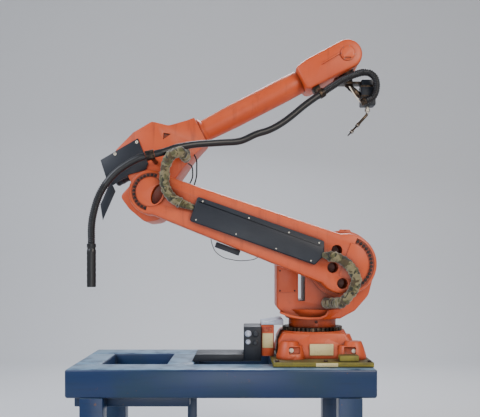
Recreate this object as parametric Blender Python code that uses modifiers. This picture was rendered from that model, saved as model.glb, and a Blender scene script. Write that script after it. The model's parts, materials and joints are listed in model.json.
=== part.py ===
"""Long-reach six-axis industrial robot arm on its steel stand, in metres, +Z up.

The origin lies on the floor under the middle of the whole object.
+X is the robot's forward direction, and -Y is the side with the lower arm and the hoses.
"""
import math

import bmesh
import bpy
from mathutils import Matrix, Vector

for old in list(bpy.data.objects):
    bpy.data.objects.remove(old, do_unlink=True)

# Clearances
GAP = 0.0003
BEARING_GAP = 0.0006
SWING_GAP = 0.006

# Steel stand, lengths measured from axis 1
STAND_LEFT = -1.545
STAND_RIGHT = 0.345
STAND_HALF_WIDTH = 0.500
BEAM_HEIGHT = 0.175
BEAM_WIDTH = 0.240
BEAM_EDGE = 0.014
CROSS_BEAM_WIDTH = 0.180
MIDDLE_BEAM_X = -0.865
LEG_HEIGHT = 0.500
LEG_SIZE = 0.140
LEG_INSET = 0.160
FOOT_SIZE = 0.220
FOOT_THICKNESS = 0.020
POST_SIZE = 0.060
RAIL_HEIGHT = 0.079
RAIL_WIDTH = 0.080
RAIL_LEFT = -1.520
RAIL_RIGHT = -0.800

# Riser plate under the robot
RISER_LEFT = -0.280
RISER_RIGHT = 0.340
RISER_HALF_WIDTH = 0.420
RISER_THICKNESS = 0.032

# Axis 1 stands here, and every robot height is measured from the riser's top
AXIS_1_X = 0.569
BASE_Z = LEG_HEIGHT + BEAM_HEIGHT + RISER_THICKNESS

# Base casting
BASE_HALF_SIZE = 0.255
BASE_HEIGHT = 0.165
BASE_TOP_RADIUS = 0.222
BASE_FOOT_X = 0.175
BASE_FOOT_Y = 0.235
BASE_FOOT_CENTRE_X = 0.030
BASE_FOOT_RADIUS = 0.080
BASE_FOOT_HEIGHT = 0.085

# Slew ring, neck and turret
SLEW_HEIGHT = 0.024
SLEW_RADIUS = 0.200
NECK_RADIUS = 0.158
TURRET_BOTTOM = 0.248
TURRET_HALF_WIDTH = 0.170
TURRET_EDGE = 0.018
REAR_COLUMN_LEFT = -0.246
REAR_COLUMN_RIGHT = -0.107
REAR_COLUMN_TOP = 0.740
SLIT_RIGHT = -0.062
SLIT_BOTTOM = 0.364
SLIT_TOP = 0.545

# Shoulder, elbow and wrist
SHOULDER_X = 0.170
SHOULDER_Z = 0.605
LOWER_ARM_LENGTH = 1.283
LOWER_ARM_LEAN = 69.8
FOREARM_RISE = 27.3
FOREARM_OFFSET = 0.258
FOREARM_LENGTH = 1.547

# Lower arm
GEARBOX_RADIUS = 0.214
ARM_INNER_Y = -0.240
ARM_OUTER_Y = -0.420
ARM_EDGE = 0.022
SHOULDER_END_RADIUS = 0.190
ELBOW_END_RADIUS = 0.140
ELBOW_GEARBOX_RADIUS = 0.118
COVER_THICKNESS = 0.030

# Elbow housing, forearm and wrist
HOUSING_HALF_WIDTH = 0.180
HOUSING_EDGE = 0.030
TUBE_START = 0.458
TUBE_END = 1.200
TUBE_RADIUS = 0.079
TUBE_NECK_RADIUS = 0.072
FORK_HALF_WIDTH = 0.125
FORK_SLOT_HALF_WIDTH = 0.068
FORK_HALF_HEIGHT = 0.098
FORK_SLOT_DEPTH = 0.140
CAP_RADIUS = 0.042
TILT_RADIUS = 0.088
TILT_NECK_RADIUS = 0.058
TRUNNION_RADIUS = 0.055
FLANGE_DROP = 0.118
FLANGE_THICKNESS = 0.046
FLANGE_RADIUS = 0.050

# Hoses and sleeves
HOSE_DIAMETER = 0.044
ELBOW_SLEEVE_DIAMETER = 0.060
SHOULDER_SLEEVE_DIAMETER = 0.062
END_SLEEVE_DIAMETER = 0.056
HOSE_PLANE_Y = -0.490
CLAMP_RADIUS = 0.031
CLAMP_POST_RADIUS = 0.014

parts = bpy.data.collections.new("industrial_robot_arm")
cutters = bpy.data.collections.new("cutters")
bpy.context.scene.collection.children.link(parts)
bpy.context.scene.collection.children.link(cutters)


def finish(name, colour, roughness, metallic=0.0):
    """A Principled material of one colour."""
    material = bpy.data.materials.new(name)
    material.use_nodes = True
    shader = material.node_tree.nodes["Principled BSDF"]
    shader.inputs["Base Color"].default_value = (*colour, 1.0)
    shader.inputs["Roughness"].default_value = roughness
    shader.inputs["Metallic"].default_value = metallic
    return material


ORANGE = finish("orange_paint", (0.62, 0.13, 0.05), 0.45)
BLUE = finish("blue_painted_steel", (0.02, 0.07, 0.14), 0.5)
OLIVE = finish("worn_yellow_green_paint", (0.30, 0.27, 0.05), 0.6)
BLACK = finish("black_plastic", (0.02, 0.025, 0.03), 0.5)
STEEL = finish("bare_steel", (0.45, 0.44, 0.42), 0.35, 1.0)
DARK_STEEL = finish("dark_steel", (0.10, 0.09, 0.09), 0.4, 1.0)
CREAM = finish("cream_plate", (0.62, 0.58, 0.45), 0.5)
FABRIC = finish("camouflage_fabric", (0.16, 0.15, 0.07), 0.9)
RUBBER = finish("black_rubber_hose", (0.02, 0.02, 0.025), 0.6)


def frame_empty(name, x, y, z, turn=0.0, parent=None):
    """An empty on a joint axis, turned about Y so that its X runs along the arm that it carries."""
    empty = bpy.data.objects.new(name, None)
    bpy.context.scene.collection.objects.link(empty)
    empty.location = (x, y, z)
    empty.rotation_euler = (0.0, math.radians(turn), 0.0)
    empty.parent = parent
    return empty


ground = frame_empty("ground_frame", AXIS_1_X, 0.0, 0.0)
robot = frame_empty("axis_1", AXIS_1_X, 0.0, BASE_Z)
arm = frame_empty("axis_2", SHOULDER_X, 0.0, SHOULDER_Z, 90.0 - LOWER_ARM_LEAN, robot)
elbow = frame_empty("axis_3", -LOWER_ARM_LENGTH, 0.0, 0.0, LOWER_ARM_LEAN - 90.0 - FOREARM_RISE, arm)
forearm = frame_empty("axis_4", 0.0, 0.0, FOREARM_OFFSET, 0.0, elbow)
wrist = frame_empty("axis_5", FOREARM_LENGTH, 0.0, 0.0, FOREARM_RISE, forearm)
bpy.context.view_layer.update()


def local(frame, point):
    """A world point in the coordinates of a frame."""
    return frame.matrix_world.inverted() @ Vector(point)


def add(name, mesh, material, parent, cutter=False):
    """Places a mesh as a named object under its frame."""
    mesh.materials.clear()
    mesh.materials.append(material)
    part = bpy.data.objects.new(name, mesh)
    (cutters if cutter else parts).objects.link(part)
    part.parent = parent
    if cutter:
        part.hide_render = True
        part.display_type = "WIRE"
    return part


def mesh_from(name, bm):
    """Turns a bmesh into a mesh with its faces pointing out."""
    bmesh.ops.recalc_face_normals(bm, faces=bm.faces)
    if bm.calc_volume(signed=True) < 0:
        bmesh.ops.reverse_faces(bm, faces=bm.faces)
    mesh = bpy.data.meshes.new(name)
    bm.to_mesh(mesh)
    bm.free()
    return mesh


def round_edges(part, width, segments=2, angle=40.0):
    """Rounds the sharp edges of a part."""
    bevel = part.modifiers.new("rounded_edges", "BEVEL")
    bevel.width = width
    bevel.segments = segments
    bevel.limit_method = "ANGLE"
    bevel.angle_limit = math.radians(angle)
    return part


def join(part, *others):
    """Fuses other solids to a part, which become its hidden operands."""
    for other in others:
        union = part.modifiers.new("with_" + other.name, "BOOLEAN")
        union.operation = "UNION"
        union.object = other
        union.solver = "EXACT"
    return part


def cut(part, *others):
    """Cuts other solids out of a part."""
    for other in others:
        difference = part.modifiers.new("without_" + other.name, "BOOLEAN")
        difference.operation = "DIFFERENCE"
        difference.object = other
        difference.solver = "EXACT"
    return part


def box(name, x, y, z, material, parent, edge=0.0, cutter=False):
    """A box between pairs of limits along X, Y and Z."""
    bm = bmesh.new()
    bmesh.ops.create_cube(bm, size=1.0)
    size = Vector((x[1] - x[0], y[1] - y[0], z[1] - z[0]))
    middle = Vector((x[1] + x[0], y[1] + y[0], z[1] + z[0])) / 2
    bmesh.ops.scale(bm, vec=size, verts=bm.verts)
    bmesh.ops.translate(bm, vec=middle, verts=bm.verts)
    part = add(name, mesh_from(name, bm), material, parent, cutter)
    if edge:
        round_edges(part, edge)
    return part


def rod(name, start, end, radius, material, parent, sides=32, end_radius=None, cutter=False, edge=0.0):
    """A round bar or cone between two points."""
    start = Vector(start)
    end = Vector(end)
    along = end - start
    bm = bmesh.new()
    bmesh.ops.create_cone(bm, cap_ends=True, segments=sides, radius1=radius,
                          radius2=radius if end_radius is None else end_radius, depth=along.length)
    turn = along.to_track_quat("Z", "Y").to_matrix().to_4x4()
    bm.transform(Matrix.Translation((start + end) / 2) @ turn)
    part = add(name, mesh_from(name, bm), material, parent, cutter)
    if edge:
        round_edges(part, edge, 1)
    return part


def turned(name, profile, start, along, material, parent, sides=32, cutter=False):
    """A turned solid: the profile is (distance along the axis, radius), from one end to the other."""
    mesh = bpy.data.meshes.new(name)
    points = [(radius, 0.0, -distance) for distance, radius in profile]
    points = [(0.0, 0.0, points[0][2])] + points + [(0.0, 0.0, points[-1][2])]
    mesh.from_pydata(points, [(i, i + 1) for i in range(len(points) - 1)], [])
    turn = (-Vector(along)).to_track_quat("Z", "Y").to_matrix().to_4x4()
    part = add(name, mesh, material, parent, cutter)
    part.matrix_local = Matrix.Translation(start) @ turn
    screw = part.modifiers.new("turned", "SCREW")
    screw.axis = "Z"
    screw.steps = sides
    screw.render_steps = sides
    screw.use_merge_vertices = True
    screw.merge_threshold = 0.0001
    return part


def outline(name, points, y_near, y_far, material, parent, edge=0.0, cutter=False, segments=2):
    """A flat outline in XZ made a solid between two Y values."""
    curve = bpy.data.curves.new(name, "CURVE")
    curve.dimensions = "2D"
    curve.fill_mode = "BOTH"
    curve.extrude = abs(y_far - y_near) / 2
    spline = curve.splines.new("POLY")
    spline.points.add(len(points) - 1)
    for target, (x, z) in zip(spline.points, points):
        target.co = (x, z, 0.0, 1.0)
    spline.use_cyclic_u = True
    guide = bpy.data.objects.new(name + "_outline", curve)
    cutters.objects.link(guide)
    bpy.context.view_layer.update()
    shape = bpy.data.meshes.new_from_object(guide.evaluated_get(bpy.context.evaluated_depsgraph_get()))
    bpy.data.objects.remove(guide, do_unlink=True)
    bm = bmesh.new()
    bm.from_mesh(shape)
    bpy.data.meshes.remove(shape)
    bmesh.ops.remove_doubles(bm, verts=bm.verts, dist=0.00001)
    bmesh.ops.dissolve_limit(bm, angle_limit=0.002, verts=bm.verts, edges=bm.edges)
    bm.transform(Matrix.Translation((0, (y_near + y_far) / 2, 0)) @ Matrix.Rotation(math.pi / 2, 4, "X"))
    part = add(name, mesh_from(name, bm), material, parent, cutter)
    if edge:
        round_edges(part, edge, segments)
    return part


def filleted(corners, steps=4):
    """The points of an outline whose corners (x, z, radius) are rounded."""
    points = []
    count = len(corners)
    for index, (x, z, radius) in enumerate(corners):
        here = Vector((x, z))
        before = (Vector(corners[index - 1][:2]) - here).normalized()
        after = (Vector(corners[(index + 1) % count][:2]) - here).normalized()
        if radius <= 0.0:
            points.append((x, z))
            continue
        half = before.angle(after) / 2
        reach = radius / math.tan(half)
        centre = here + (before + after).normalized() * (radius / math.sin(half))
        first = here + before * reach - centre
        last = here + after * reach - centre
        sweep = first.angle_signed(last)
        for step in range(steps + 1):
            turned_point = first.copy()
            turned_point.rotate(Matrix.Rotation(-sweep * step / steps, 2))
            points.append(tuple(centre + turned_point))
    return points


def arc(centre_x, centre_z, radius, start, end, steps):
    """Points of an arc, with its angles in degrees."""
    return [(centre_x + radius * math.cos(math.radians(start + (end - start) * i / steps)),
             centre_z + radius * math.sin(math.radians(start + (end - start) * i / steps)))
            for i in range(steps + 1)]


def smooth_route(points, spacing):
    """Evenly spaced points read from one smooth curve through the route's own points."""
    route = [Vector(p) for p in points]
    route = [2 * route[0] - route[1]] + route + [2 * route[-1] - route[-2]]
    fine = []
    for a, b, c, d in zip(route, route[1:], route[2:], route[3:]):
        for step in range(24):
            t = step / 24
            fine.append(0.5 * (2 * b + (c - a) * t + (2 * a - 5 * b + 4 * c - d) * t * t
                               + (3 * b - a - 3 * c + d) * t ** 3))
    fine.append(route[-2])
    length = sum((q - p).length for p, q in zip(fine, fine[1:]))
    count = max(2, round(length / spacing))
    even = [fine[0]]
    travelled = 0.0
    for p, q in zip(fine, fine[1:]):
        step_length = (q - p).length
        while len(even) < count and travelled + step_length >= len(even) * length / count:
            share = (len(even) * length / count - travelled) / step_length
            even.append(p.lerp(q, share))
        travelled += step_length
    even.append(fine[-1])
    return even


def hose(name, points, diameter, material, frame, spacing=0.05, resolution=2):
    """A tube of one diameter along a smooth route in world coordinates, under the frame that carries it."""
    curve = bpy.data.curves.new(name, "CURVE")
    curve.dimensions = "3D"
    curve.bevel_depth = diameter / 2
    curve.bevel_resolution = resolution
    curve.use_fill_caps = True
    route = [local(frame, place) for place in smooth_route(points, spacing)]
    spline = curve.splines.new("POLY")
    spline.points.add(len(route) - 1)
    for target, place in zip(spline.points, route):
        target.co = (*place, 1.0)
    curve.materials.append(material)
    tube = bpy.data.objects.new(name, curve)
    parts.objects.link(tube)
    tube.parent = frame
    return tube


def make_stand():
    """Blue steel frame of hollow sections on four legs, with the plate that the robot is bolted to."""
    bottom = LEG_HEIGHT
    top = LEG_HEIGHT + BEAM_HEIGHT
    inner = STAND_HALF_WIDTH - BEAM_WIDTH
    long_x = (STAND_LEFT, STAND_RIGHT)
    box("stand_front_beam", long_x, (-STAND_HALF_WIDTH, -inner), (bottom, top), BLUE, ground, BEAM_EDGE)
    box("stand_rear_beam", long_x, (inner, STAND_HALF_WIDTH), (bottom, top), BLUE, ground, BEAM_EDGE)
    between = (-inner + GAP, inner - GAP)
    left = (STAND_LEFT, STAND_LEFT + CROSS_BEAM_WIDTH)
    middle = (MIDDLE_BEAM_X - CROSS_BEAM_WIDTH / 2, MIDDLE_BEAM_X + CROSS_BEAM_WIDTH / 2)
    right = (STAND_RIGHT - CROSS_BEAM_WIDTH, STAND_RIGHT)
    under_robot = (RISER_LEFT, RISER_LEFT + CROSS_BEAM_WIDTH)
    box("stand_left_beam", left, between, (bottom, top), BLUE, ground, BEAM_EDGE)
    box("stand_middle_beam", middle, between, (bottom, top), BLUE, ground, BEAM_EDGE)
    box("stand_right_beam", right, between, (bottom, top), BLUE, ground, BEAM_EDGE)
    box("stand_robot_beam", under_robot, between, (bottom, top), BLUE, ground, BEAM_EDGE)
    leg_y = STAND_HALF_WIDTH - LEG_SIZE / 2
    places = {
        "stand_leg_front_right": (STAND_RIGHT - LEG_INSET, -leg_y),
        "stand_leg_rear_right": (STAND_RIGHT - LEG_INSET, leg_y),
        "stand_leg_front_left": (STAND_LEFT + LEG_INSET, -leg_y),
        "stand_leg_rear_left": (STAND_LEFT + LEG_INSET, leg_y),
    }
    for name, (x, y) in places.items():
        leg(name, x, y, LEG_SIZE, FOOT_SIZE)
    leg("stand_middle_post", MIDDLE_BEAM_X + 0.06, 0.0, POST_SIZE, POST_SIZE * 2)
    rail_y = STAND_HALF_WIDTH - LEG_SIZE - RAIL_WIDTH / 2 - 0.01
    rail_z = (bottom - GAP - RAIL_HEIGHT, bottom - GAP)
    box("stand_lower_rail", (RAIL_LEFT, RAIL_RIGHT), (-rail_y - RAIL_WIDTH / 2, -rail_y + RAIL_WIDTH / 2),
        rail_z, BLUE, ground, 0.006)
    box("riser_plate", (RISER_LEFT, RISER_RIGHT), (-RISER_HALF_WIDTH, RISER_HALF_WIDTH),
        (top + GAP, BASE_Z), OLIVE, ground, 0.004)


def leg(name, x, y, size, foot):
    """A square leg with its foot plate."""
    half = size / 2
    post = box(name, (x - half, x + half), (y - half, y + half), (FOOT_THICKNESS / 2, LEG_HEIGHT - GAP),
               BLUE, ground)
    plate = box(name + "_plate", (x - foot / 2, x + foot / 2), (y - foot / 2, y + foot / 2),
                (0.0, FOOT_THICKNESS), BLUE, ground, cutter=True)
    join(post, plate)


def superellipse(half_x, half_y, power, z, count, centre_x=0.0):
    """A ring of points on a rounded square, which is a circle at a power of 2."""
    ring = []
    for index in range(count):
        angle = 2 * math.pi * (index + 0.5) / count
        c = math.cos(angle)
        s = math.sin(angle)
        ring.append(Vector((centre_x + math.copysign(abs(c) ** (2 / power), c) * half_x,
                            math.copysign(abs(s) ** (2 / power), s) * half_y, z)))
    return ring


def loft(name, rings, material, parent):
    """A closed skin over rings with equal point counts."""
    bm = bmesh.new()
    layers = [[bm.verts.new(p) for p in ring] for ring in rings]
    count = len(rings[0])
    for lower, upper in zip(layers, layers[1:]):
        for i in range(count):
            j = (i + 1) % count
            bm.faces.new((lower[i], lower[j], upper[j], upper[i]))
    bm.faces.new(list(reversed(layers[0])))
    bm.faces.new(layers[-1])
    return add(name, mesh_from(name, bm), material, parent)


def make_base():
    """Cast base with its foot lobes, the slew ring and the connector boxes at the back."""
    rings = [
        superellipse(BASE_HALF_SIZE, BASE_HALF_SIZE, 5.0, GAP, 32, BASE_FOOT_CENTRE_X / 2),
        superellipse(BASE_HALF_SIZE, BASE_HALF_SIZE, 5.0, 0.030, 32, BASE_FOOT_CENTRE_X / 2),
        superellipse(0.238, 0.238, 3.0, 0.100, 32),
        superellipse(BASE_TOP_RADIUS, BASE_TOP_RADIUS, 2.0, 0.150, 32),
        superellipse(BASE_TOP_RADIUS - 0.008, BASE_TOP_RADIUS - 0.008, 2.0, BASE_HEIGHT, 32),
    ]
    casting = loft("base_casting", rings, ORANGE, robot)
    for number, (side_x, side_y) in enumerate(((-1, -1), (1, -1), (1, 1), (-1, 1)), start=1):
        x = BASE_FOOT_CENTRE_X + side_x * BASE_FOOT_X
        y = side_y * BASE_FOOT_Y
        lobe = rod(f"base_lobe_{number}", (x, y, GAP), (x, y, BASE_FOOT_HEIGHT), BASE_FOOT_RADIUS, ORANGE,
                   robot, 20, BASE_FOOT_RADIUS - 0.022, cutter=True)
        join(casting, lobe)
    turned("slew_ring", [(0.0, SLEW_RADIUS), (SLEW_HEIGHT - 2 * GAP, SLEW_RADIUS)],
           (0, 0, BASE_HEIGHT + GAP), (0, 0, 1), DARK_STEEL, robot, 40)
    box("connector_box", (-0.345, -0.262), (-0.130, 0.130), (GAP, 0.205), ORANGE, robot, 0.006)
    lid = filleted([(-0.345, 0.2055, 0), (-0.200, 0.2055, 0), (-0.200, 0.245, 0.01), (-0.345, 0.222, 0.004)])
    outline("connector_lid", lid, -0.130, 0.130, CREAM, robot)
    box("cable_entry_box", (-0.460, -0.345 - GAP), (-0.150, 0.110), (-0.030, 0.195), BLACK, robot, 0.006)


def make_turret():
    """Slewing column with the rear post, its slit, the shoulder dish and the motors."""
    body = filleted([
        (-0.150, TURRET_BOTTOM, 0.03), (0.165, TURRET_BOTTOM, 0.03), (0.262, 0.300, 0.05),
        (0.350, 0.400, 0.10), (0.392, 0.560, 0.12), (0.350, 0.740, 0.12), (0.200, 0.812, 0.10),
        (0.020, 0.800, 0.08), (-0.062, 0.700, 0.02), (-0.107, 0.700, 0.02),
        (REAR_COLUMN_RIGHT, REAR_COLUMN_TOP, 0.01), (REAR_COLUMN_LEFT, REAR_COLUMN_TOP, 0.02),
        (REAR_COLUMN_LEFT, 0.320, 0.04), (-0.215, 0.290, 0.02)])
    casting = outline("turret_casting", body, -TURRET_HALF_WIDTH, TURRET_HALF_WIDTH, ORANGE, robot,
                      TURRET_EDGE, segments=1)
    slit = box("turret_slit", (REAR_COLUMN_RIGHT, SLIT_RIGHT), (-0.3, 0.3), (SLIT_BOTTOM, SLIT_TOP),
               ORANGE, robot, cutter=True)
    neck = rod("turret_neck", (0, 0, BASE_HEIGHT + SLEW_HEIGHT + BEARING_GAP), (0, 0, TURRET_BOTTOM + 0.02),
               NECK_RADIUS, ORANGE, robot, 40, cutter=True)
    dish = rod("turret_dish", (0.01, 0, TURRET_BOTTOM - 0.004), (0.01, 0, 0.310), 0.185, ORANGE, robot, 40,
               0.235, cutter=True)
    join(casting, neck, dish)
    cut(casting, slit)
    near = -TURRET_HALF_WIDTH - GAP
    centre = (SHOULDER_X, SHOULDER_Z)
    rod("shoulder_gearbox", (centre[0], near, centre[1]),
        (centre[0], ARM_INNER_Y + BEARING_GAP, centre[1]), GEARBOX_RADIUS, ORANGE, robot, 48)
    far = TURRET_HALF_WIDTH + GAP
    turned("axis_2_motor", [(0, 0.105), (0.030, 0.105), (0.032, 0.092), (0.200, 0.092), (0.202, 0.080),
                            (0.240, 0.076)],
           (centre[0], far, centre[1]), (0, 1, 0), BLACK, robot, 28)
    turned("axis_1_motor", [(0, 0.060), (0.018, 0.060), (0.020, 0.052), (0.070, 0.052), (0.078, 0.042)],
           (-0.176, 0.0, REAR_COLUMN_TOP + GAP), (0, 0, 1), BLACK, robot, 24)


def make_lower_arm():
    """Cast lower arm between the shoulder and the elbow, its cable cover and its hub plates."""
    half_shoulder = 0.163
    half_elbow = 0.128
    shoulder_cut = math.degrees(math.asin(half_shoulder / SHOULDER_END_RADIUS))
    elbow_cut = math.degrees(math.asin(half_elbow / ELBOW_END_RADIUS))
    shape = arc(0.0, 0.0, SHOULDER_END_RADIUS, -180 + shoulder_cut, 180 - shoulder_cut, 30)
    shape += arc(-LOWER_ARM_LENGTH, 0.0, ELBOW_END_RADIUS, elbow_cut, 360 - elbow_cut, 20)
    casting = outline("lower_arm_casting", shape, ARM_OUTER_Y, ARM_INNER_Y, ORANGE, arm, ARM_EDGE)
    for number, (x, z) in enumerate(((-0.085, 0.058), (-0.072, -0.050), (0.018, -0.122)), start=1):
        pocket = rod(f"arm_pocket_{number}", (x, ARM_OUTER_Y - 0.05, z), (x, ARM_OUTER_Y + 0.05, z), 0.034,
                     ORANGE, arm, 16, cutter=True)
        cut(casting, pocket)
    cover = filleted([(-0.999, 0.071, 0.008), (-0.995, -0.085, 0.008), (-0.184, -0.074, 0.008),
                      (-0.150, 0.000, 0.008), (-0.180, 0.082, 0.008)], 2)
    outline("cable_cover", cover, ARM_OUTER_Y - COVER_THICKNESS, ARM_OUTER_Y - GAP, BLACK, arm, 0.008,
            segments=1)
    shoulder_plate = arc(0.060, 0.0, 0.098, -90, 90, 14) + [(-0.020, 0.098), (-0.020, -0.098)]
    outline("shoulder_hub_plate", shoulder_plate, ARM_OUTER_Y - 0.012, ARM_OUTER_Y - GAP, ORANGE, arm)
    rod("elbow_hub_plate", (-LOWER_ARM_LENGTH, ARM_OUTER_Y - 0.012, 0),
        (-LOWER_ARM_LENGTH, ARM_OUTER_Y - GAP, 0), 0.078, ORANGE, arm, 28)
    box("arm_cable_clip", (-0.800, -0.640), (-0.360, -0.300), (-0.182, -0.1470), BLACK, arm, 0.004)


def make_elbow():
    """Rear housing of the forearm with its gearbox, motors, side plate and hose bracket."""
    axis_z = FOREARM_OFFSET
    shape = filleted([
        (-0.100, axis_z + 0.120, 0.02), (0.060, axis_z + 0.172, 0.02), (0.200, axis_z + 0.180, 0.03),
        (0.285, axis_z + 0.110, 0.06), (TUBE_START - GAP, axis_z + 0.088, 0.006),
        (TUBE_START - GAP, axis_z - 0.094, 0.01), (0.330, 0.120, 0.03), (0.150, 0.030, 0.08),
        (0.060, -0.120, 0.08), (-0.060, -0.150, 0.06), (-0.140, -0.120, 0.05), (-0.190, 0.000, 0.05),
        (-0.205, 0.100, 0.03), (-0.100, 0.140, 0.02)], 3)
    casting = outline("elbow_housing", shape, -HOUSING_HALF_WIDTH, HOUSING_HALF_WIDTH, ORANGE, elbow,
                      HOUSING_EDGE)
    near = -HOUSING_HALF_WIDTH - GAP
    rod("elbow_gearbox", (0, near, 0), (0, ARM_INNER_Y + BEARING_GAP, 0), ELBOW_GEARBOX_RADIUS, ORANGE,
        elbow, 36)
    far = HOUSING_HALF_WIDTH + GAP
    turned("axis_3_motor", [(0, 0.085), (0.024, 0.085), (0.026, 0.074), (0.170, 0.074), (0.172, 0.062),
                            (0.200, 0.058)],
           (0, far, 0), (0, 1, 0), BLACK, elbow, 28)
    for number, y in enumerate((-0.085, 0.085), start=1):
        turned(f"wrist_motor_{number}", [(0, 0.062), (0.012, 0.062), (0.014, 0.052), (0.105, 0.052),
                                         (0.115, 0.042)],
               (-0.100 - GAP, y, axis_z), (-1, 0, 0), BLACK, elbow, 24)
    plate = [(-0.210, 0.366), (0.069, 0.380), (0.054, 0.204), (0.022, 0.176), (-0.089, 0.198),
             (-0.212, 0.183), (-0.232, 0.238)]
    plate_near = near - 0.006
    outline("side_plate", list(reversed(plate)), plate_near, near, BLACK, elbow)
    fin = [(-0.212, 0.215), (-0.215, 0.140), (-0.375, 0.011), (-0.342, 0.109)]
    outline("side_plate_flap", fin, plate_near - GAP - 0.004, plate_near - GAP, BLACK, elbow)


def make_forearm():
    """Forearm tube, wrist fork with its cap, and the clamp that holds the hose."""
    turned("forearm_tube", [(0.0, 0.092), (0.014, 0.092), (0.030, TUBE_NECK_RADIUS), (0.240, TUBE_RADIUS),
                            (0.620, TUBE_RADIUS), (TUBE_END - TUBE_START - GAP, TUBE_NECK_RADIUS + 0.004)],
           (TUBE_START, 0, 0), (1, 0, 0), ORANGE, forearm, 36)
    end = FOREARM_LENGTH
    shape = [(TUBE_END, -0.084), (1.235, -FORK_HALF_HEIGHT)]
    shape += arc(end, 0.0, FORK_HALF_HEIGHT, -90, 90, 16)
    shape += [(1.290, 0.094), (TUBE_END, 0.078)]
    fork = outline("wrist_fork", shape, -FORK_HALF_WIDTH, FORK_HALF_WIDTH, ORANGE, forearm, 0.020)
    slot = box("fork_slot", (end - FORK_SLOT_DEPTH, end + 0.2),
               (-FORK_SLOT_HALF_WIDTH, FORK_SLOT_HALF_WIDTH), (-0.2, 0.2), ORANGE, forearm, cutter=True)
    cut(fork, slot)
    rod("wrist_cap", (end, -FORK_HALF_WIDTH - 0.016, 0), (end, -FORK_HALF_WIDTH - GAP, 0), CAP_RADIUS,
        ORANGE, forearm, 28)
    box("fork_hose_bracket", (1.235, 1.285), (-0.125, -0.060),
        (-FORK_HALF_HEIGHT - 0.075, -FORK_HALF_HEIGHT - GAP), DARK_STEEL, forearm)


def make_wrist():
    """Tilting wrist body, turning flange and the small tool that hangs on it."""
    reach = FORK_SLOT_HALF_WIDTH - SWING_GAP
    hub = rod("wrist_tilt_body", (0, -reach, 0), (0, reach, 0), TILT_RADIUS, DARK_STEEL, wrist, 36)
    neck = rod("wrist_tilt_neck", (0, 0, -0.02), (0, 0, -FLANGE_DROP), TILT_NECK_RADIUS, DARK_STEEL, wrist,
               32, cutter=True)
    seat = FORK_SLOT_HALF_WIDTH - BEARING_GAP
    trunnion = rod("wrist_trunnion", (0, -seat, 0), (0, seat, 0), TRUNNION_RADIUS, DARK_STEEL, wrist, 28,
                   cutter=True)
    join(hub, neck, trunnion)
    top = -FLANGE_DROP - BEARING_GAP
    low = top - FLANGE_THICKNESS
    rod("tool_flange", (0, 0, top), (0, 0, low), FLANGE_RADIUS, STEEL, wrist, 32)
    box("tool_plate", (-0.045, 0.075), (-0.045, 0.045), (low - 0.014, low - GAP), DARK_STEEL, wrist, 0.002)
    under = low - 0.014 - GAP
    rod("tool_cylinder", (0.045, 0.0, under), (0.045, 0.0, under - 0.120), 0.030, DARK_STEEL, wrist, 24)
    box("tool_body", (0.0755, 0.185), (-0.050, 0.050), (under - 0.150, under - 0.010), BLACK, wrist, 0.010)
    rod("tool_fitting", (0.140, 0.0, under - 0.150 - GAP), (0.140, 0.0, under - 0.195), 0.016, STEEL, wrist, 12)


def hose_clamp(name, foot, seat, before, after, frame):
    """A round clamp between two lengths of hose, on the end of its bracket."""
    bracket = rod(name, local(frame, foot), local(frame, seat), CLAMP_POST_RADIUS, DARK_STEEL, frame, 12)
    ring = rod(name + "_ring", local(frame, before), local(frame, after), CLAMP_RADIUS, DARK_STEEL, frame, 20,
               cutter=True)
    join(bracket, ring)


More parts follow.
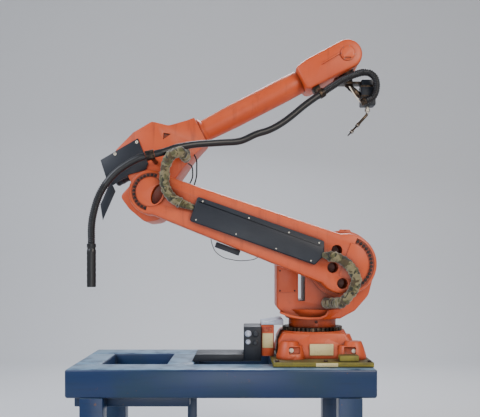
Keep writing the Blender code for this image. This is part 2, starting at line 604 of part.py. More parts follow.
def make_hoses():
    """Dress hose in three lengths, its clamps, its end sleeve and the two fabric sleeves."""
    hose_clamp("elbow_hose_bracket", (-0.461, -HOUSING_HALF_WIDTH - GAP, 1.970), (-0.461, -0.482, 1.970),
               (-0.487, HOSE_PLANE_Y, 1.9633), (-0.435, HOSE_PLANE_Y + 0.005, 1.9767), elbow)
    hose("hose_hanging", [
        (-0.4892, HOSE_PLANE_Y, 1.9627), (-0.527, HOSE_PLANE_Y - 0.002, 1.952), (-0.59, HOSE_PLANE_Y, 1.921),
        (-0.663, HOSE_PLANE_Y, 1.869), (-0.722, HOSE_PLANE_Y, 1.803), (-0.766, HOSE_PLANE_Y, 1.730),
        (-0.796, HOSE_PLANE_Y, 1.642), (-0.813, HOSE_PLANE_Y, 1.547), (-0.814, HOSE_PLANE_Y, 1.437)],
        HOSE_DIAMETER, RUBBER, elbow)
    rod("hose_end_sleeve", local(elbow, (-0.814, HOSE_PLANE_Y, 1.4362)),
        local(elbow, (-0.814, HOSE_PLANE_Y, 1.173)), END_SLEEVE_DIAMETER / 2, RUBBER, elbow, 16)
    hose("hose_forearm_run", [
        (-0.4335, -0.4848, 1.9772), (-0.393, -0.4808, 1.9875), (-0.349, -0.462, 2.004), (-0.302, -0.440, 2.024),
        (-0.194, -0.390, 2.051), (-0.045, -0.330, 2.072), (0.084, -0.290, 2.089), (0.184, -0.265, 2.136),
        (0.282, -0.240, 2.173), (0.382, -0.215, 2.237), (0.499, -0.190, 2.335), (0.5978, -0.172, 2.4092)],
        HOSE_DIAMETER, RUBBER, elbow)
    hose_clamp("fork_hose_clamp", (0.613, -0.130, 2.419), (0.613, -0.166, 2.419),
               (0.599, -0.1715, 2.410), (0.627, -0.1675, 2.429), forearm)
    hose("hose_wrist_loop", [
        (0.6282, -0.1673, 2.4298), (0.689, -0.156, 2.472), (0.751, -0.145, 2.512), (0.815, -0.138, 2.542),
        (0.889, -0.130, 2.566), (0.939, -0.122, 2.561), (0.977, -0.108, 2.526), (0.985, -0.090, 2.467),
        (0.964, -0.078, 2.415), (0.909, -0.074, 2.390)],
        HOSE_DIAMETER, RUBBER, forearm)
    hose("elbow_sleeve", [
        (-0.2695, -0.1813, 2.030), (-0.2695, -0.240, 2.030), (-0.265, -0.300, 2.008), (-0.254, -0.365, 1.975), (-0.253, -0.440, 1.967),
        (-0.275, -0.505, 1.988), (-0.332, -0.508, 1.965), (-0.365, -0.475, 1.916), (-0.375, -0.460, 1.856), (-0.375, -0.456, 1.800),
        (-0.357, -0.456, 1.749), (-0.319, -0.456, 1.707), (-0.281, -0.456, 1.684)],
        ELBOW_SLEEVE_DIAMETER, FABRIC, elbow)
    hose("shoulder_sleeve", [
        (0.623, -0.470, 1.361), (0.681, -0.470, 1.348), (0.736, -0.470, 1.312), (0.778, -0.470, 1.257),
        (0.791, -0.470, 1.208), (0.769, -0.470, 1.155), (0.737, -0.468, 1.108), (0.704, -0.430, 1.075), (0.669, -0.330, 1.068),
        (0.641, -0.250, 1.061), (0.641, -0.1714, 1.061)],
        SHOULDER_SLEEVE_DIAMETER, FABRIC, arm)


make_stand()
make_base()
make_turret()
make_lower_arm()
make_elbow()
make_forearm()
make_wrist()
make_hoses()
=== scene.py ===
"""Looks of a long-reach six-axis industrial robot arm on its steel stand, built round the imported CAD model."""
import json
import math

import bmesh
import bpy
from mathutils import Matrix, Vector
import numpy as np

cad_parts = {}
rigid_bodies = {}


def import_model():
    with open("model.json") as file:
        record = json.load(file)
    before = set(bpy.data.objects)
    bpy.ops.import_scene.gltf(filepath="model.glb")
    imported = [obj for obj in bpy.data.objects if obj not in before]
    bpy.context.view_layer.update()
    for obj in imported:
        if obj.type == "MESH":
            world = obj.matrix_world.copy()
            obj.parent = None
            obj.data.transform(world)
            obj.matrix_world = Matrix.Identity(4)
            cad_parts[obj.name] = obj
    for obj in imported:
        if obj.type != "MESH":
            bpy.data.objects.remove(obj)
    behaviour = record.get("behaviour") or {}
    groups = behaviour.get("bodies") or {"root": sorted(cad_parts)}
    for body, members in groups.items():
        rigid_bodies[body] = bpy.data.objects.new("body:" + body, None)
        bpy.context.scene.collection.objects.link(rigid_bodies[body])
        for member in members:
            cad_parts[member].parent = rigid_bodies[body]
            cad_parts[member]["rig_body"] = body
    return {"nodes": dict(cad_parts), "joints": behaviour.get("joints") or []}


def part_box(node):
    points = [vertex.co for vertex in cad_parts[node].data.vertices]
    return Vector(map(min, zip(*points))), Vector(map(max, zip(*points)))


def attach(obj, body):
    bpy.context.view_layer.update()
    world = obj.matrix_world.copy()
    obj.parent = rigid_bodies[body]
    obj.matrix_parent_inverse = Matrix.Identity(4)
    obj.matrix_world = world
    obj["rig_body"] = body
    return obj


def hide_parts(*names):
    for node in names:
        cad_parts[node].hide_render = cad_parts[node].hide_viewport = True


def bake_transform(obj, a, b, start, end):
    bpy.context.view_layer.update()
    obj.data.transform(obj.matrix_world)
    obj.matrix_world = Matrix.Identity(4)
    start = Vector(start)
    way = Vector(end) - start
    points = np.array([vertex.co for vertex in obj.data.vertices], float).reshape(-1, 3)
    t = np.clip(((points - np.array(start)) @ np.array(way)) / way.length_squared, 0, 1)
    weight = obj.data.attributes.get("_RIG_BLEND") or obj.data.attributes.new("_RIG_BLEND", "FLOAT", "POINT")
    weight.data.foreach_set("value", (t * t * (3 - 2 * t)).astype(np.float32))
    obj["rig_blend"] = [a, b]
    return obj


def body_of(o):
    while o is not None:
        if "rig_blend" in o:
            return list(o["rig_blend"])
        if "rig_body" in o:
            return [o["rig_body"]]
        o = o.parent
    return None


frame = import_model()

bl_info = {
    "name": "Industrial robot arm",
    "version": (1, 0, 0),
    "blender": (4, 5, 0),
    "location": "3D View > Sidebar > Robot arm",
    "description": "Dresses the packed robot arm with hoses, fabric sleeves, bolts, plates and finishes",
    "category": "Add Mesh",
}

NODES = frame["nodes"]
JOINTS = {joint["name"]: Vector(joint["pos_m"]) for joint in frame["joints"]}


def seat(origin, along=(1.0, 0.0, 0.0)):
    """A matrix at a joint whose X runs along a link in the XZ plane."""
    x_axis = Vector(along).normalized()
    y_axis = Vector((0.0, 1.0, 0.0))
    z_axis = x_axis.cross(y_axis)
    turn = Matrix((x_axis, y_axis, z_axis)).transposed().to_4x4()
    return Matrix.Translation(origin) @ turn


FOREARM_AXIS = JOINTS["axis_5"] - JOINTS["axis_4"]
ROBOT = seat(JOINTS["axis_1"])
ARM = seat(JOINTS["axis_2"], JOINTS["axis_2"] - JOINTS["axis_3"])
ELBOW = seat(JOINTS["axis_3"], FOREARM_AXIS)
FOREARM = seat(JOINTS["axis_4"], FOREARM_AXIS)
WRIST = seat(JOINTS["axis_5"])
WORLD = Matrix.Identity(4)
ARM_LENGTH = (JOINTS["axis_2"] - JOINTS["axis_3"]).length
FOREARM_LENGTH = FOREARM_AXIS.length

# Faces of the CAD model that pieces are fixed to, in metres in the frame of their link
ARM_FACE_Y = -0.420
COVER_FACE_Y = -0.450
HOUSING_FACE_Y = -0.180
PLATE_FACE_Y = -0.1866
FORK_FACE_Y = -0.125
CAP_FACE_Y = -0.141
FIT_GAP = 0.0003
RECESS_DEPTH = 0.012

# Hose routes as in the CAD source: offsets from a joint in the world's directions
HOSE_PLANE_Y = -0.490
HANGING_ROUTE = [
    (-0.0241, HOSE_PLANE_Y, 0.2077), (-0.0619, HOSE_PLANE_Y - 0.002, 0.197), (-0.1249, HOSE_PLANE_Y, 0.166),
    (-0.1979, HOSE_PLANE_Y, 0.114), (-0.2569, HOSE_PLANE_Y, 0.048), (-0.3009, HOSE_PLANE_Y, -0.025),
    (-0.3309, HOSE_PLANE_Y, -0.113), (-0.3479, HOSE_PLANE_Y, -0.208),
    (-0.3489, HOSE_PLANE_Y, -0.318), (-0.3489, HOSE_PLANE_Y, -0.580)]
RUN_ROUTE = [
    (0.0316, -0.4848, 0.2222), (0.0721, -0.4808, 0.2325), (0.1161, -0.462, 0.249), (0.1631, -0.440, 0.269),
    (0.2711, -0.390, 0.296), (0.4201, -0.330, 0.317), (0.5491, -0.290, 0.334), (0.6491, -0.265, 0.381),
    (0.7471, -0.240, 0.418), (0.8471, -0.215, 0.482), (0.9641, -0.190, 0.58), (1.0629, -0.172, 0.6542)]
LOOP_ROUTE = [
    (-0.1631, -0.1673, -0.264), (-0.1023, -0.156, -0.2218), (-0.0403, -0.145, -0.1818),
    (0.0237, -0.138, -0.1518), (0.0977, -0.130, -0.1278), (0.1477, -0.122, -0.1328),
    (0.1857, -0.108, -0.1678), (0.1937, -0.090, -0.2268), (0.1727, -0.078, -0.2788),
    (0.1177, -0.074, -0.3038)]
ELBOW_SLEEVE_ROUTE = [
    (0.1956, -0.1813, 0.275), (0.1956, -0.240, 0.275), (0.2001, -0.300, 0.253), (0.2111, -0.365, 0.22),
    (0.2121, -0.440, 0.212), (0.1901, -0.505, 0.233), (0.1331, -0.508, 0.21), (0.1001, -0.475, 0.161),
    (0.0901, -0.460, 0.101), (0.0901, -0.456, 0.045), (0.1081, -0.456, -0.006), (0.1461, -0.456, -0.048),
    (0.1841, -0.456, -0.071)]
SHOULDER_SLEEVE_ROUTE = [
    (-0.116, -0.470, 0.049), (-0.058, -0.470, 0.036), (-0.003, -0.470, 0.0), (0.039, -0.470, -0.055),
    (0.052, -0.470, -0.104), (0.03, -0.470, -0.157), (-0.002, -0.468, -0.204), (-0.035, -0.430, -0.237),
    (-0.07, -0.330, -0.244), (-0.098, -0.250, -0.251), (-0.098, -0.1714, -0.251)]
THIN_LOOP_ROUTE = [
    (-0.8369, -0.330, 0.1553), (-0.829, -0.330, 0.120), (-0.8067, -0.330, 0.0753), (-0.7584, -0.330, 0.0402),
    (-0.7058, -0.330, 0.027), (-0.6663, -0.330, 0.0208), (-0.6268, -0.330, 0.0208),
    (-0.5735, -0.330, 0.027), (-0.5454, -0.330, 0.0393)]
HOSE_DIAMETER = 0.044
THIN_HOSE_DIAMETER = 0.009
ELBOW_SLEEVE_DIAMETER = 0.060
SHOULDER_SLEEVE_DIAMETER = 0.062
THIN_CABLE_DIAMETER = 0.005
ELBOW_TAIL_END = Vector((-0.192, -0.428, 1.655))
SHOULDER_TAIL_END = Vector((0.592, -0.444, 1.367))
ELBOW_TAIL_INSET = Vector((0, 0.014, 0))

# Height up to which the riser plate's cut edge is brighter
RISER_STRIP_TOP = 0.692


def linear(code):
    """An sRGB hex colour such as D2622F as a linear colour with alpha."""
    channels = [int(code[i:i + 2], 16) / 255 for i in (0, 2, 4)]
    return tuple(c / 12.92 if c <= 0.04045 else ((c + 0.055) / 1.055) ** 2.4 for c in channels) + (1.0,)


class RobotArmSettings(bpy.types.PropertyGroup):
    """Sizes and colours of the dressed robot arm."""

    paint: bpy.props.FloatVectorProperty(
        name="Robot paint", description="Colour of the sprayed enamel on the castings", size=4, min=0.0,
        max=1.0, subtype="COLOR", default=linear("C04A1C"))
    stand_paint: bpy.props.FloatVectorProperty(
        name="Stand paint", description="Colour of the stand's enamel", size=4, min=0.0, max=1.0,
        subtype="COLOR", default=linear("062750"))
    plate_paint: bpy.props.FloatVectorProperty(
        name="Riser paint", description="Colour of the plate under the robot", size=4, min=0.0, max=1.0,
        subtype="COLOR", default=linear("7E741F"))
    cover_colour: bpy.props.FloatVectorProperty(
        name="Cover", description="Colour of the moulded covers", size=4, min=0.0, max=1.0,
        subtype="COLOR", default=linear("0A121E"))
    ridge_pitch: bpy.props.FloatProperty(
        name="Ridge pitch", description="Distance between the ridges of the corrugated hose", default=0.0125,
        min=0.004, max=0.03, unit="LENGTH")
    ridge_height: bpy.props.FloatProperty(
        name="Ridge height", description="Depth of the ridges of the corrugated hose", default=0.0045,
        min=0.0, max=0.01, unit="LENGTH")
    fold_height: bpy.props.FloatProperty(
        name="Fold height", description="How far the sleeves' fabric folds stand out", default=0.009,
        min=0.0, max=0.02, unit="LENGTH")
    bolt_radius: bpy.props.FloatProperty(
        name="Joint bolt radius", description="Head radius of the bolts round the arm's joints",
        default=0.0085, min=0.003, max=0.02, unit="LENGTH")
    edge_radius: bpy.props.FloatProperty(
        name="Edge radius", description="Small rounding on the edges of castings and sections",
        default=0.0025, min=0.0, max=0.01, unit="LENGTH")


def settings():
    return bpy.context.scene.robot_arm_settings


# Node trees

def add_node(tree, kind, inputs=None, output=0, **values):
    """Adds a node with its settings and links, and gives one output, or the node where output is None."""
    node = tree.nodes.new(kind)
    for key, value in values.items():
        setattr(node, key, value)
    for key, value in (inputs or {}).items():
        socket = node.inputs[key]
        if isinstance(value, bpy.types.NodeSocket):
            tree.links.new(value, socket)
        else:
            socket.default_value = value
    return node if output is None else node.outputs[output]


class Look:
    """A finish in the making: a shader, and a base colour that coats of other colours are laid over."""

    def __init__(self, name, base):
        self.material = bpy.data.materials.new(name)
        self.material.use_nodes = True
        self.tree = self.material.node_tree
        self.shader = self.tree.nodes["Principled BSDF"]
        self.place = self.add("ShaderNodeTexCoord", {}, "Object")
        self.colour = base

    def add(self, kind, inputs, output=0, **values):
        return add_node(self.tree, kind, inputs, output, **values)

    def cloud(self, size, detail=3.0, roughness=0.55, distortion=0.0, stretch=None, shift=None):
        """Uneven patches of about the given size in metres, stretched or shifted on the piece."""
        place = self.place
        if stretch or shift:
            place = self.add("ShaderNodeMapping", {"Vector": place, "Scale": stretch or (1.0, 1.0, 1.0),
                                                   "Location": shift or (0.0, 0.0, 0.0)})
        return self.add("ShaderNodeTexNoise", {"Vector": place, "Scale": 1.0 / size, "Detail": detail,
                                               "Roughness": roughness, "Distortion": distortion}, "Fac")

    def blotches(self, size, low, high, top=1.0, *kind, **placing):
        """A share from 0 to top that rises where the patches go from low to high."""
        return self.add("ShaderNodeMapRange", {"Value": self.cloud(size, *kind, **placing), "From Min": low,
                                               "From Max": high, "To Max": top},
                        interpolation_type="SMOOTHSTEP")

    def facing_up(self, low=0.5, high=0.95):
        """How far a surface faces upwards, from 0 to 1."""
        normal = self.add("ShaderNodeNewGeometry", {}, "Normal")
        upward = self.add("ShaderNodeSeparateXYZ", {"Vector": normal}, "Z")
        return self.add("ShaderNodeMapRange", {"Value": upward, "From Min": low, "From Max": high},
                        interpolation_type="SMOOTHSTEP")

    def shade_in_hollows(self, distance, low=0.35, high=0.9):
        """1 in corners and hollows, and 0 on open faces, from ambient occlusion: the mask of painted shade."""
        hollow = self.add("ShaderNodeAmbientOcclusion", {"Distance": distance}, "AO", samples=6)
        return self.add("ShaderNodeMapRange", {"Value": hollow, "From Min": low, "From Max": high,
                                               "To Min": 1.0, "To Max": 0.0},
                        interpolation_type="SMOOTHSTEP")

    def coat(self, colour, *shares):
        """Lays a colour over what is there, as far as all the shares together say."""
        share = shares[0]
        for other in shares[1:]:
            share = self.add("ShaderNodeMath", {0: share, 1: other}, operation="MULTIPLY")
        self.colour = self.add("ShaderNodeMix", {0: share, 6: self.colour, 7: linear(colour)}, 2,
                               data_type="RGBA")

    def uneven_gloss(self, pattern, low, high):
        rough = self.add("ShaderNodeMapRange", {"Value": pattern, "To Min": low, "To Max": high})
        self.tree.links.new(rough, self.shader.inputs["Roughness"])

    def grain(self, pattern, strength, distance):
        raised = self.add("ShaderNodeBump", {"Height": pattern, "Strength": strength, "Distance": distance})
        self.tree.links.new(raised, self.shader.inputs["Normal"])

    def finished(self, constants=None):
        """Links the colour, sets what is the same all over, and gives the material."""
        self.tree.links.new(self.colour, self.shader.inputs["Base Color"])
        for name, value in (constants or {}).items():
            self.shader.inputs[name].default_value = value
        return self.material


# Finishes

BRUSH_STROKES = (3.0, 40.0, 40.0)
DRIPS = (22.0, 22.0, 2.2)
WEAVE_SCALE = 125.0 / math.pi


def robot_enamel():
    """Two-pack enamel sprayed on cast metal: semi-gloss, with an orange-peel skin, oily grime streaks, dust with
    a painted highlight on upward faces, and painted shade with grime in the hollows.
    """
    look = Look("sprayed_orange_enamel", tuple(settings().paint))
    look.coat("CB5A2C", look.blotches(0.22, 0.35, 0.7, 0.55))
    look.coat("8C3220", look.blotches(0.06, 0.52, 0.8, 0.30, 5.0, 0.65))
    look.coat("5E2618", look.blotches(1.0, 0.54, 0.78, 0.42, stretch=DRIPS))
    # Painted highlight with dust: a paler orange in patches on upward faces.
    look.coat("D38A62", look.facing_up(), look.blotches(0.05, 0.3, 0.7, 0.34, 4.0))
    # Painted shade with grime: dark brown in corners and hollows, from ambient occlusion.
    look.coat("32170F", look.shade_in_hollows(0.07), 0.72)
    look.coat("4B3B34", look.blotches(0.011, 0.735, 0.75, 1.0, 2.0, 0.5),
              look.blotches(0.13, 0.55, 0.62, 1.0, 2.0))
    look.uneven_gloss(look.cloud(0.08, 4.0), 0.34, 0.56)
    look.grain(look.cloud(0.006, 4.0, 0.6), 0.16, 0.0010)
    return look.finished()


def stand_enamel():
    """Brushed navy enamel on rolled steel sections: pale on top from wear and a painted reflection, scratched
    and greenish in places, with painted shade in the hollows.
    """
    look = Look("brushed_navy_enamel", tuple(settings().stand_paint))
    look.coat("0D3038", look.blotches(0.30, 0.35, 0.75, 0.5, 4.0))
    look.coat("06182C", look.blotches(1.0, 0.5, 0.8, 0.35, 4.0, stretch=BRUSH_STROKES))
    # Painted reflection with wear: pale blue-grey in patches on upward faces.
    look.coat("6C8CA6", look.facing_up(0.7, 0.98), look.blotches(0.11, 0.22, 0.60, 1.0, 5.0))
    look.coat("5B3A2A", look.blotches(0.035, 0.66, 0.74, 1.0, 4.0, 0.6),
              look.blotches(0.4, 0.45, 0.6, 1.0, 1.0))
    # Painted shade: near-black in corners and hollows.
    look.coat("10151C", look.shade_in_hollows(0.06), 0.6)
    look.grain(look.cloud(1.0, 4.0, stretch=BRUSH_STROKES), 0.12, 0.0012)
    return look.finished({"Roughness": 0.38})


def riser_enamel():
    """Old yellow-green enamel on flame-cut plate: dull and dirty, darker on upward faces, brighter on the cut
    edge, with painted shade in the hollows.
    """
    look = Look("old_yellow_green_enamel", tuple(settings().plate_paint))
    look.coat("4B4620", look.blotches(0.09, 0.3, 0.7, 0.8, 5.0, 0.65))
    # Darker on upward faces.
    look.coat("544E34", look.facing_up(), 0.75)
    height = look.add("ShaderNodeSeparateXYZ", {"Vector": look.place}, "Z")
    # Brighter yellow on the faces below the strip height, along the plate's cut edge.
    edge = look.add("ShaderNodeMath", {0: height, 1: RISER_STRIP_TOP}, operation="LESS_THAN")
    look.coat("9C8F22", edge, 0.7)
    look.coat("8F8650", look.blotches(0.02, 0.6, 0.78, 0.5, 4.0, 0.7))
    # Painted shade: dark in corners and hollows.
    look.coat("25241A", look.shade_in_hollows(0.06), 0.8)
    look.grain(look.cloud(0.012, 5.0), 0.25, 0.0015)
    return look.finished({"Roughness": 0.6})


def moulded_cover():
    """Moulded ABS in blue-black: a fine grain, satin, dusty on top and scuffed grey."""
    look = Look("moulded_black_abs", tuple(settings().cover_colour))
    look.coat("161E29", look.blotches(0.16, 0.3, 0.75, 0.5, 4.0))
    look.coat("4A525B", look.facing_up(0.2, 0.9), look.blotches(0.04, 0.3, 0.8, 0.5, 4.0))
    look.coat("323A43", look.blotches(0.018, 0.64, 0.8, 0.35, 5.0, 0.7))
    look.uneven_gloss(look.cloud(0.07), 0.36, 0.60)
    look.grain(look.cloud(0.004), 0.12, 0.0006)
    return look.finished()


def hose_rubber():
    """Extruded black nitrile rubber: deep black with a soft gloss and grey dust on its upper side."""
    look = Look("extruded_black_rubber", linear("090B0F"))
    look.coat("343A42", look.facing_up(0.1, 0.9), look.blotches(0.05, 0.3, 0.8, 0.42, 4.0))
    look.grain(look.cloud(0.005), 0.10, 0.0006)
    return look.finished({"Roughness": 0.42, "IOR": 1.52})


def camouflage_cloth():
    """Woven cotton in olive, khaki and brown patches: matt, with a fuzzy sheen, a weave bump and painted shade
    in its hollows.

    The real thread spacing of 0.6 mm is too fine to show here, so the weave is drawn at 8 mm.
    """
    look = Look("woven_camouflage_cotton", linear("4C4A2B"))
    look.coat("746B4C", look.blotches(0.060, 0.48, 0.52, 1.0, 2.0, 0.5, 0.6))
    look.coat("43371F", look.blotches(0.048, 0.55, 0.58, 1.0, 2.0, 0.5, 0.8, shift=(3.1, 1.7, 0.4)))
    look.coat("1D2013", look.blotches(0.042, 0.60, 0.62, 1.0, 2.0, 0.5, 0.9, shift=(7.3, 4.9, 2.2)))
    # Painted shade: darker in the folds and hollows of the cloth.
    look.coat("1E1D12", look.shade_in_hollows(0.02), 0.6)
    threads = look.add("ShaderNodeTexWave", {"Vector": look.place, "Scale": WEAVE_SCALE, "Distortion": 1.5,
                                             "Detail": 1.0}, "Fac")
    look.grain(threads, 0.35, 0.0008)
    return look.finished({"Roughness": 0.9, "Sheen Weight": 0.35, "Sheen Roughness": 0.5})


def machined_steel():
    """Turned bare steel: bright metal with fine tool marks and a little tarnish."""
    look = Look("turned_bare_steel", linear("B9B6AE"))
    look.coat("7E7568", look.blotches(0.03, 0.4, 0.75, 0.7, 4.0))
    look.grain(look.cloud(0.003, 2.0), 0.15, 0.0004)
    return look.finished({"Metallic": 1.0, "Roughness": 0.34})


def oiled_steel():
    """Dark oiled steel: phosphated brown-black metal with bronze-brown rub marks."""
    look = Look("phosphated_oiled_steel", linear("2B2725"))
    look.coat("6E5C4A", look.blotches(0.035, 0.42, 0.72, 1.0, 5.0, 0.65))
    look.grain(look.cloud(0.006, 4.0), 0.2, 0.0006)
    return look.finished({"Metallic": 0.85, "Roughness": 0.42})


def black_oxide():
    """Black oxide on screws: near-black metal with a dull gleam."""
    look = Look("black_oxide_screws", linear("231A18"))
    look.coat("5A3A2E", look.blotches(0.02, 0.4, 0.7, 0.6))
    return look.finished({"Metallic": 0.6, "Roughness": 0.45})


def bare_plate():
    """Anodised aluminium plate with nothing printed on it: cream, scratched and stained at its edge."""
    look = Look("anodised_cream_plate", linear("C9BB88"))
    look.coat("857A4C", look.blotches(0.025, 0.5, 0.8, 0.55, 5.0, 0.7))
    look.grain(look.cloud(0.004), 0.1, 0.0004)
    return look.finished({"Roughness": 0.42, "Metallic": 0.15})


def faded_red_plate():
    """Vinyl plate with nothing printed on it: faded red over orange, worn through at places."""
    look = Look("faded_red_vinyl", linear("93301F"))
    look.coat("C8764A", look.blotches(0.018, 0.48, 0.7, 0.8, 5.0, 0.7))
    return look.finished({"Roughness": 0.55})


def zinc_plate():
    """Zinc-plated lid: pale blue-grey metal with grease marks."""
    look = Look("pale_zinc_plate", linear("AEB5C4"))
    look.coat("6F7686", look.blotches(0.03, 0.45, 0.75, 0.6, 5.0, 0.7))
    return look.finished({"Metallic": 0.35, "Roughness": 0.38})


def pale_nylon():
    """Natural nylon: off-white plastic of small screws, caps and tubes, with a soft gloss."""
    look = Look("natural_nylon", linear("E6E0CE"))
    look.coat("A79F8A", look.blotches(0.02, 0.4, 0.8, 0.4))
    return look.finished({"Roughness": 0.4})


FINISHES = {
    "orange_paint": robot_enamel,
    "blue_paint": stand_enamel,
    "olive_paint": riser_enamel,
    "black_plastic": moulded_cover,
    "steel": machined_steel,
    "dark_steel": oiled_steel,
    "cream": bare_plate,
    "fabric": camouflage_cloth,
    "hose": hose_rubber,
    "screws": black_oxide,
    "red_plate": faded_red_plate,
    "zinc": zinc_plate,
    "nylon": pale_nylon,
}
made_finishes = {}


def finish_of(name):
    """The finish of that name, made once."""
    if name not in made_finishes:
        made_finishes[name] = FINISHES[name]()
    return made_finishes[name]


# Meshes

def linked(name, data):
    """An object of that name in the scene that holds a mesh, curve, light or camera."""
    item = bpy.data.objects.new(name, data)
    bpy.context.scene.collection.objects.link(item)
    return item


def place_piece(name, mesh, finish, body, smooth_angle=None):
    """Links a mesh as a named piece that rides on a body, with its finish."""
    piece = linked(name, mesh)
    mesh.materials.clear()
    mesh.materials.append(finish_of(finish))
    if smooth_angle is not None:
        mesh.shade_smooth()
        mesh.set_sharp_from_angle(angle=math.radians(smooth_angle))
    if body:
        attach(piece, body)
    return piece


def finished_mesh(piece):
    """Applies a piece's modifiers to a plain mesh and removes them."""
    bpy.context.view_layer.update()
    graph = bpy.context.evaluated_depsgraph_get()
    mesh = bpy.data.meshes.new_from_object(piece.evaluated_get(graph))
    piece.modifiers.clear()
    return mesh


def mesh_of(bm, name, matrix=WORLD):
    """A mesh from a bmesh, moved to its place, with faces that point out."""
    bmesh.ops.remove_doubles(bm, verts=bm.verts, dist=0.00001)
    bm.transform(matrix)
    bmesh.ops.recalc_face_normals(bm, faces=bm.faces)
    if bm.calc_volume(signed=True) < 0:
        bmesh.ops.reverse_faces(bm, faces=bm.faces)
    mesh = bpy.data.meshes.new(name)
    bm.to_mesh(mesh)
    bm.free()
    return mesh


def bevelled(bm, width, segments=2, angle=30.0):
    """Rounds the edges of a bmesh that are sharper than an angle."""
    bm.edges.ensure_lookup_table()
    sharp = [e for e in bm.edges if e.is_manifold and e.calc_face_angle(0.0) > math.radians(angle)]
    bmesh.ops.bevel(bm, geom=sharp, offset=width, segments=segments, profile=0.5, affect="EDGES",
                    clamp_overlap=True)


def block_mesh(name, x, y, z, matrix=WORLD, edge=0.002):
    """A block with rounded edges between limits along the X, Y and Z of its link."""
    bm = bmesh.new()
    bmesh.ops.create_cube(bm, size=1.0)
    size = (x[1] - x[0], y[1] - y[0], z[1] - z[0])
    middle = Vector((x[1] + x[0], y[1] + y[0], z[1] + z[0])) / 2
    bmesh.ops.scale(bm, vec=size, verts=bm.verts)
    bmesh.ops.translate(bm, vec=middle, verts=bm.verts)
    bevelled(bm, min(edge, min(size) * 0.4))
    return mesh_of(bm, name, matrix)


def block(name, x, y, z, finish, body, matrix=WORLD, edge=0.002):
    return place_piece(name, block_mesh(name, x, y, z, matrix, edge), finish, body, 40)


def prism_mesh(name, corners, push, matrix, edge=0.0):
    """A flat outline of corners of a link pushed along a vector, with rounded edges."""
    bm = bmesh.new()
    face = bm.faces.new([bm.verts.new(corner) for corner in corners])
    pushed = bmesh.ops.extrude_face_region(bm, geom=[face])
    moved = [v for v in pushed["geom"] if isinstance(v, bmesh.types.BMVert)]
    bmesh.ops.translate(bm, vec=push, verts=moved)
    bmesh.ops.recalc_face_normals(bm, faces=bm.faces)
    if edge:
        bevelled(bm, edge, 2, 35)
    return mesh_of(bm, name, matrix)


def slab_mesh(name, points, y_near, y_far, matrix, edge=0.0015):
    """A plate between two Y values, whose outline is given in the link's XZ plane."""
    return prism_mesh(name, [(x, y_near, z) for x, z in points], (0.0, y_far - y_near, 0.0), matrix, edge)


def slab(name, points, y_near, y_far, finish, body, matrix, edge=0.0015):
    return place_piece(name, slab_mesh(name, points, y_near, y_far, matrix, edge), finish, body, 40)


def turned_mesh(name, profile, start, along, matrix=WORLD, sides=36):
    """A turned piece: the profile is (distance along the axis, radius) from end to end."""
    bm = bmesh.new()
    along = Vector(along).normalized()
    turn = along.to_track_quat("Z", "Y").to_matrix().to_4x4()
    rings = []
    for distance, radius in profile:
        rings.append([bm.verts.new((x, y, distance)) for x, y in ellipse(0.0, 0.0, radius, radius, sides)])
    for low, high in zip(rings, rings[1:]):
        for i in range(sides):
            j = (i + 1) % sides
            bm.faces.new((low[i], low[j], high[j], high[i]))
    bm.faces.new(rings[0][::-1])
    bm.faces.new(rings[-1])
    bm.transform(matrix @ Matrix.Translation(start) @ turn)
    return mesh_of(bm, name)


def turned(name, profile, start, along, finish, body, matrix=WORLD, sides=36):
    return place_piece(name, turned_mesh(name, profile, start, along, matrix, sides), finish, body, 35)


def sector(centre_x, inner, outer, start, end, count):
    """The outline of a part of a ring."""
    return arc(centre_x, 0.0, outer, start, end, count) + arc(centre_x, 0.0, inner, end, start, count)


def ellipse(centre_x, centre_z, half_x, half_z, count):
    """Points of an ellipse."""
    return [(centre_x + half_x * math.cos(2 * math.pi * i / count),
             centre_z + half_z * math.sin(2 * math.pi * i / count)) for i in range(count)]


def band(path, width):
    """The outline of a strip of one width along a path."""
    over, under = [], []
    for i, (x, z) in enumerate(path):
        before = Vector(path[max(i - 1, 0)])
        after = Vector(path[min(i + 1, len(path) - 1)])
        along = (after - before).normalized()
        over.append((x - along.y * width / 2, z + along.x * width / 2))
        under.append((x + along.y * width / 2, z - along.x * width / 2))
    return under + over[::-1]


def arc(centre_x, centre_z, radius, start, end, count):
    """Points of an arc, with its angles in degrees."""
    return [(centre_x + radius * math.cos(math.radians(start + (end - start) * i / count)),
             centre_z + radius * math.sin(math.radians(start + (end - start) * i / count)))
            for i in range(count + 1)]


def smooth_route(points, spacing):
    """Evenly spaced points read from one smooth curve through the route's own points."""
    route = [Vector(p) for p in points]
    route = [2 * route[0] - route[1]] + route + [2 * route[-1] - route[-2]]
    fine = []
    for a, b, c, d in zip(route, route[1:], route[2:], route[3:]):
        for step in range(24):
            t = step / 24
            fine.append(0.5 * (2 * b + (c - a) * t + (2 * a - 5 * b + 4 * c - d) * t * t
                               + (3 * b - a - 3 * c + d) * t ** 3))
    fine.append(route[-2])
    length = sum((q - p).length for p, q in zip(fine, fine[1:]))
    count = max(2, round(length / spacing))
    even = [fine[0]]
    travelled = 0.0
    for p, q in zip(fine, fine[1:]):
        step_length = (q - p).length
        while len(even) < count and travelled + step_length >= len(even) * length / count:
            share = (len(even) * length / count - travelled) / step_length
            even.append(p.lerp(q, share))
        travelled += step_length
    even.append(fine[-1])
    return even


# Geometry Nodes

MATH = "ShaderNodeMath"


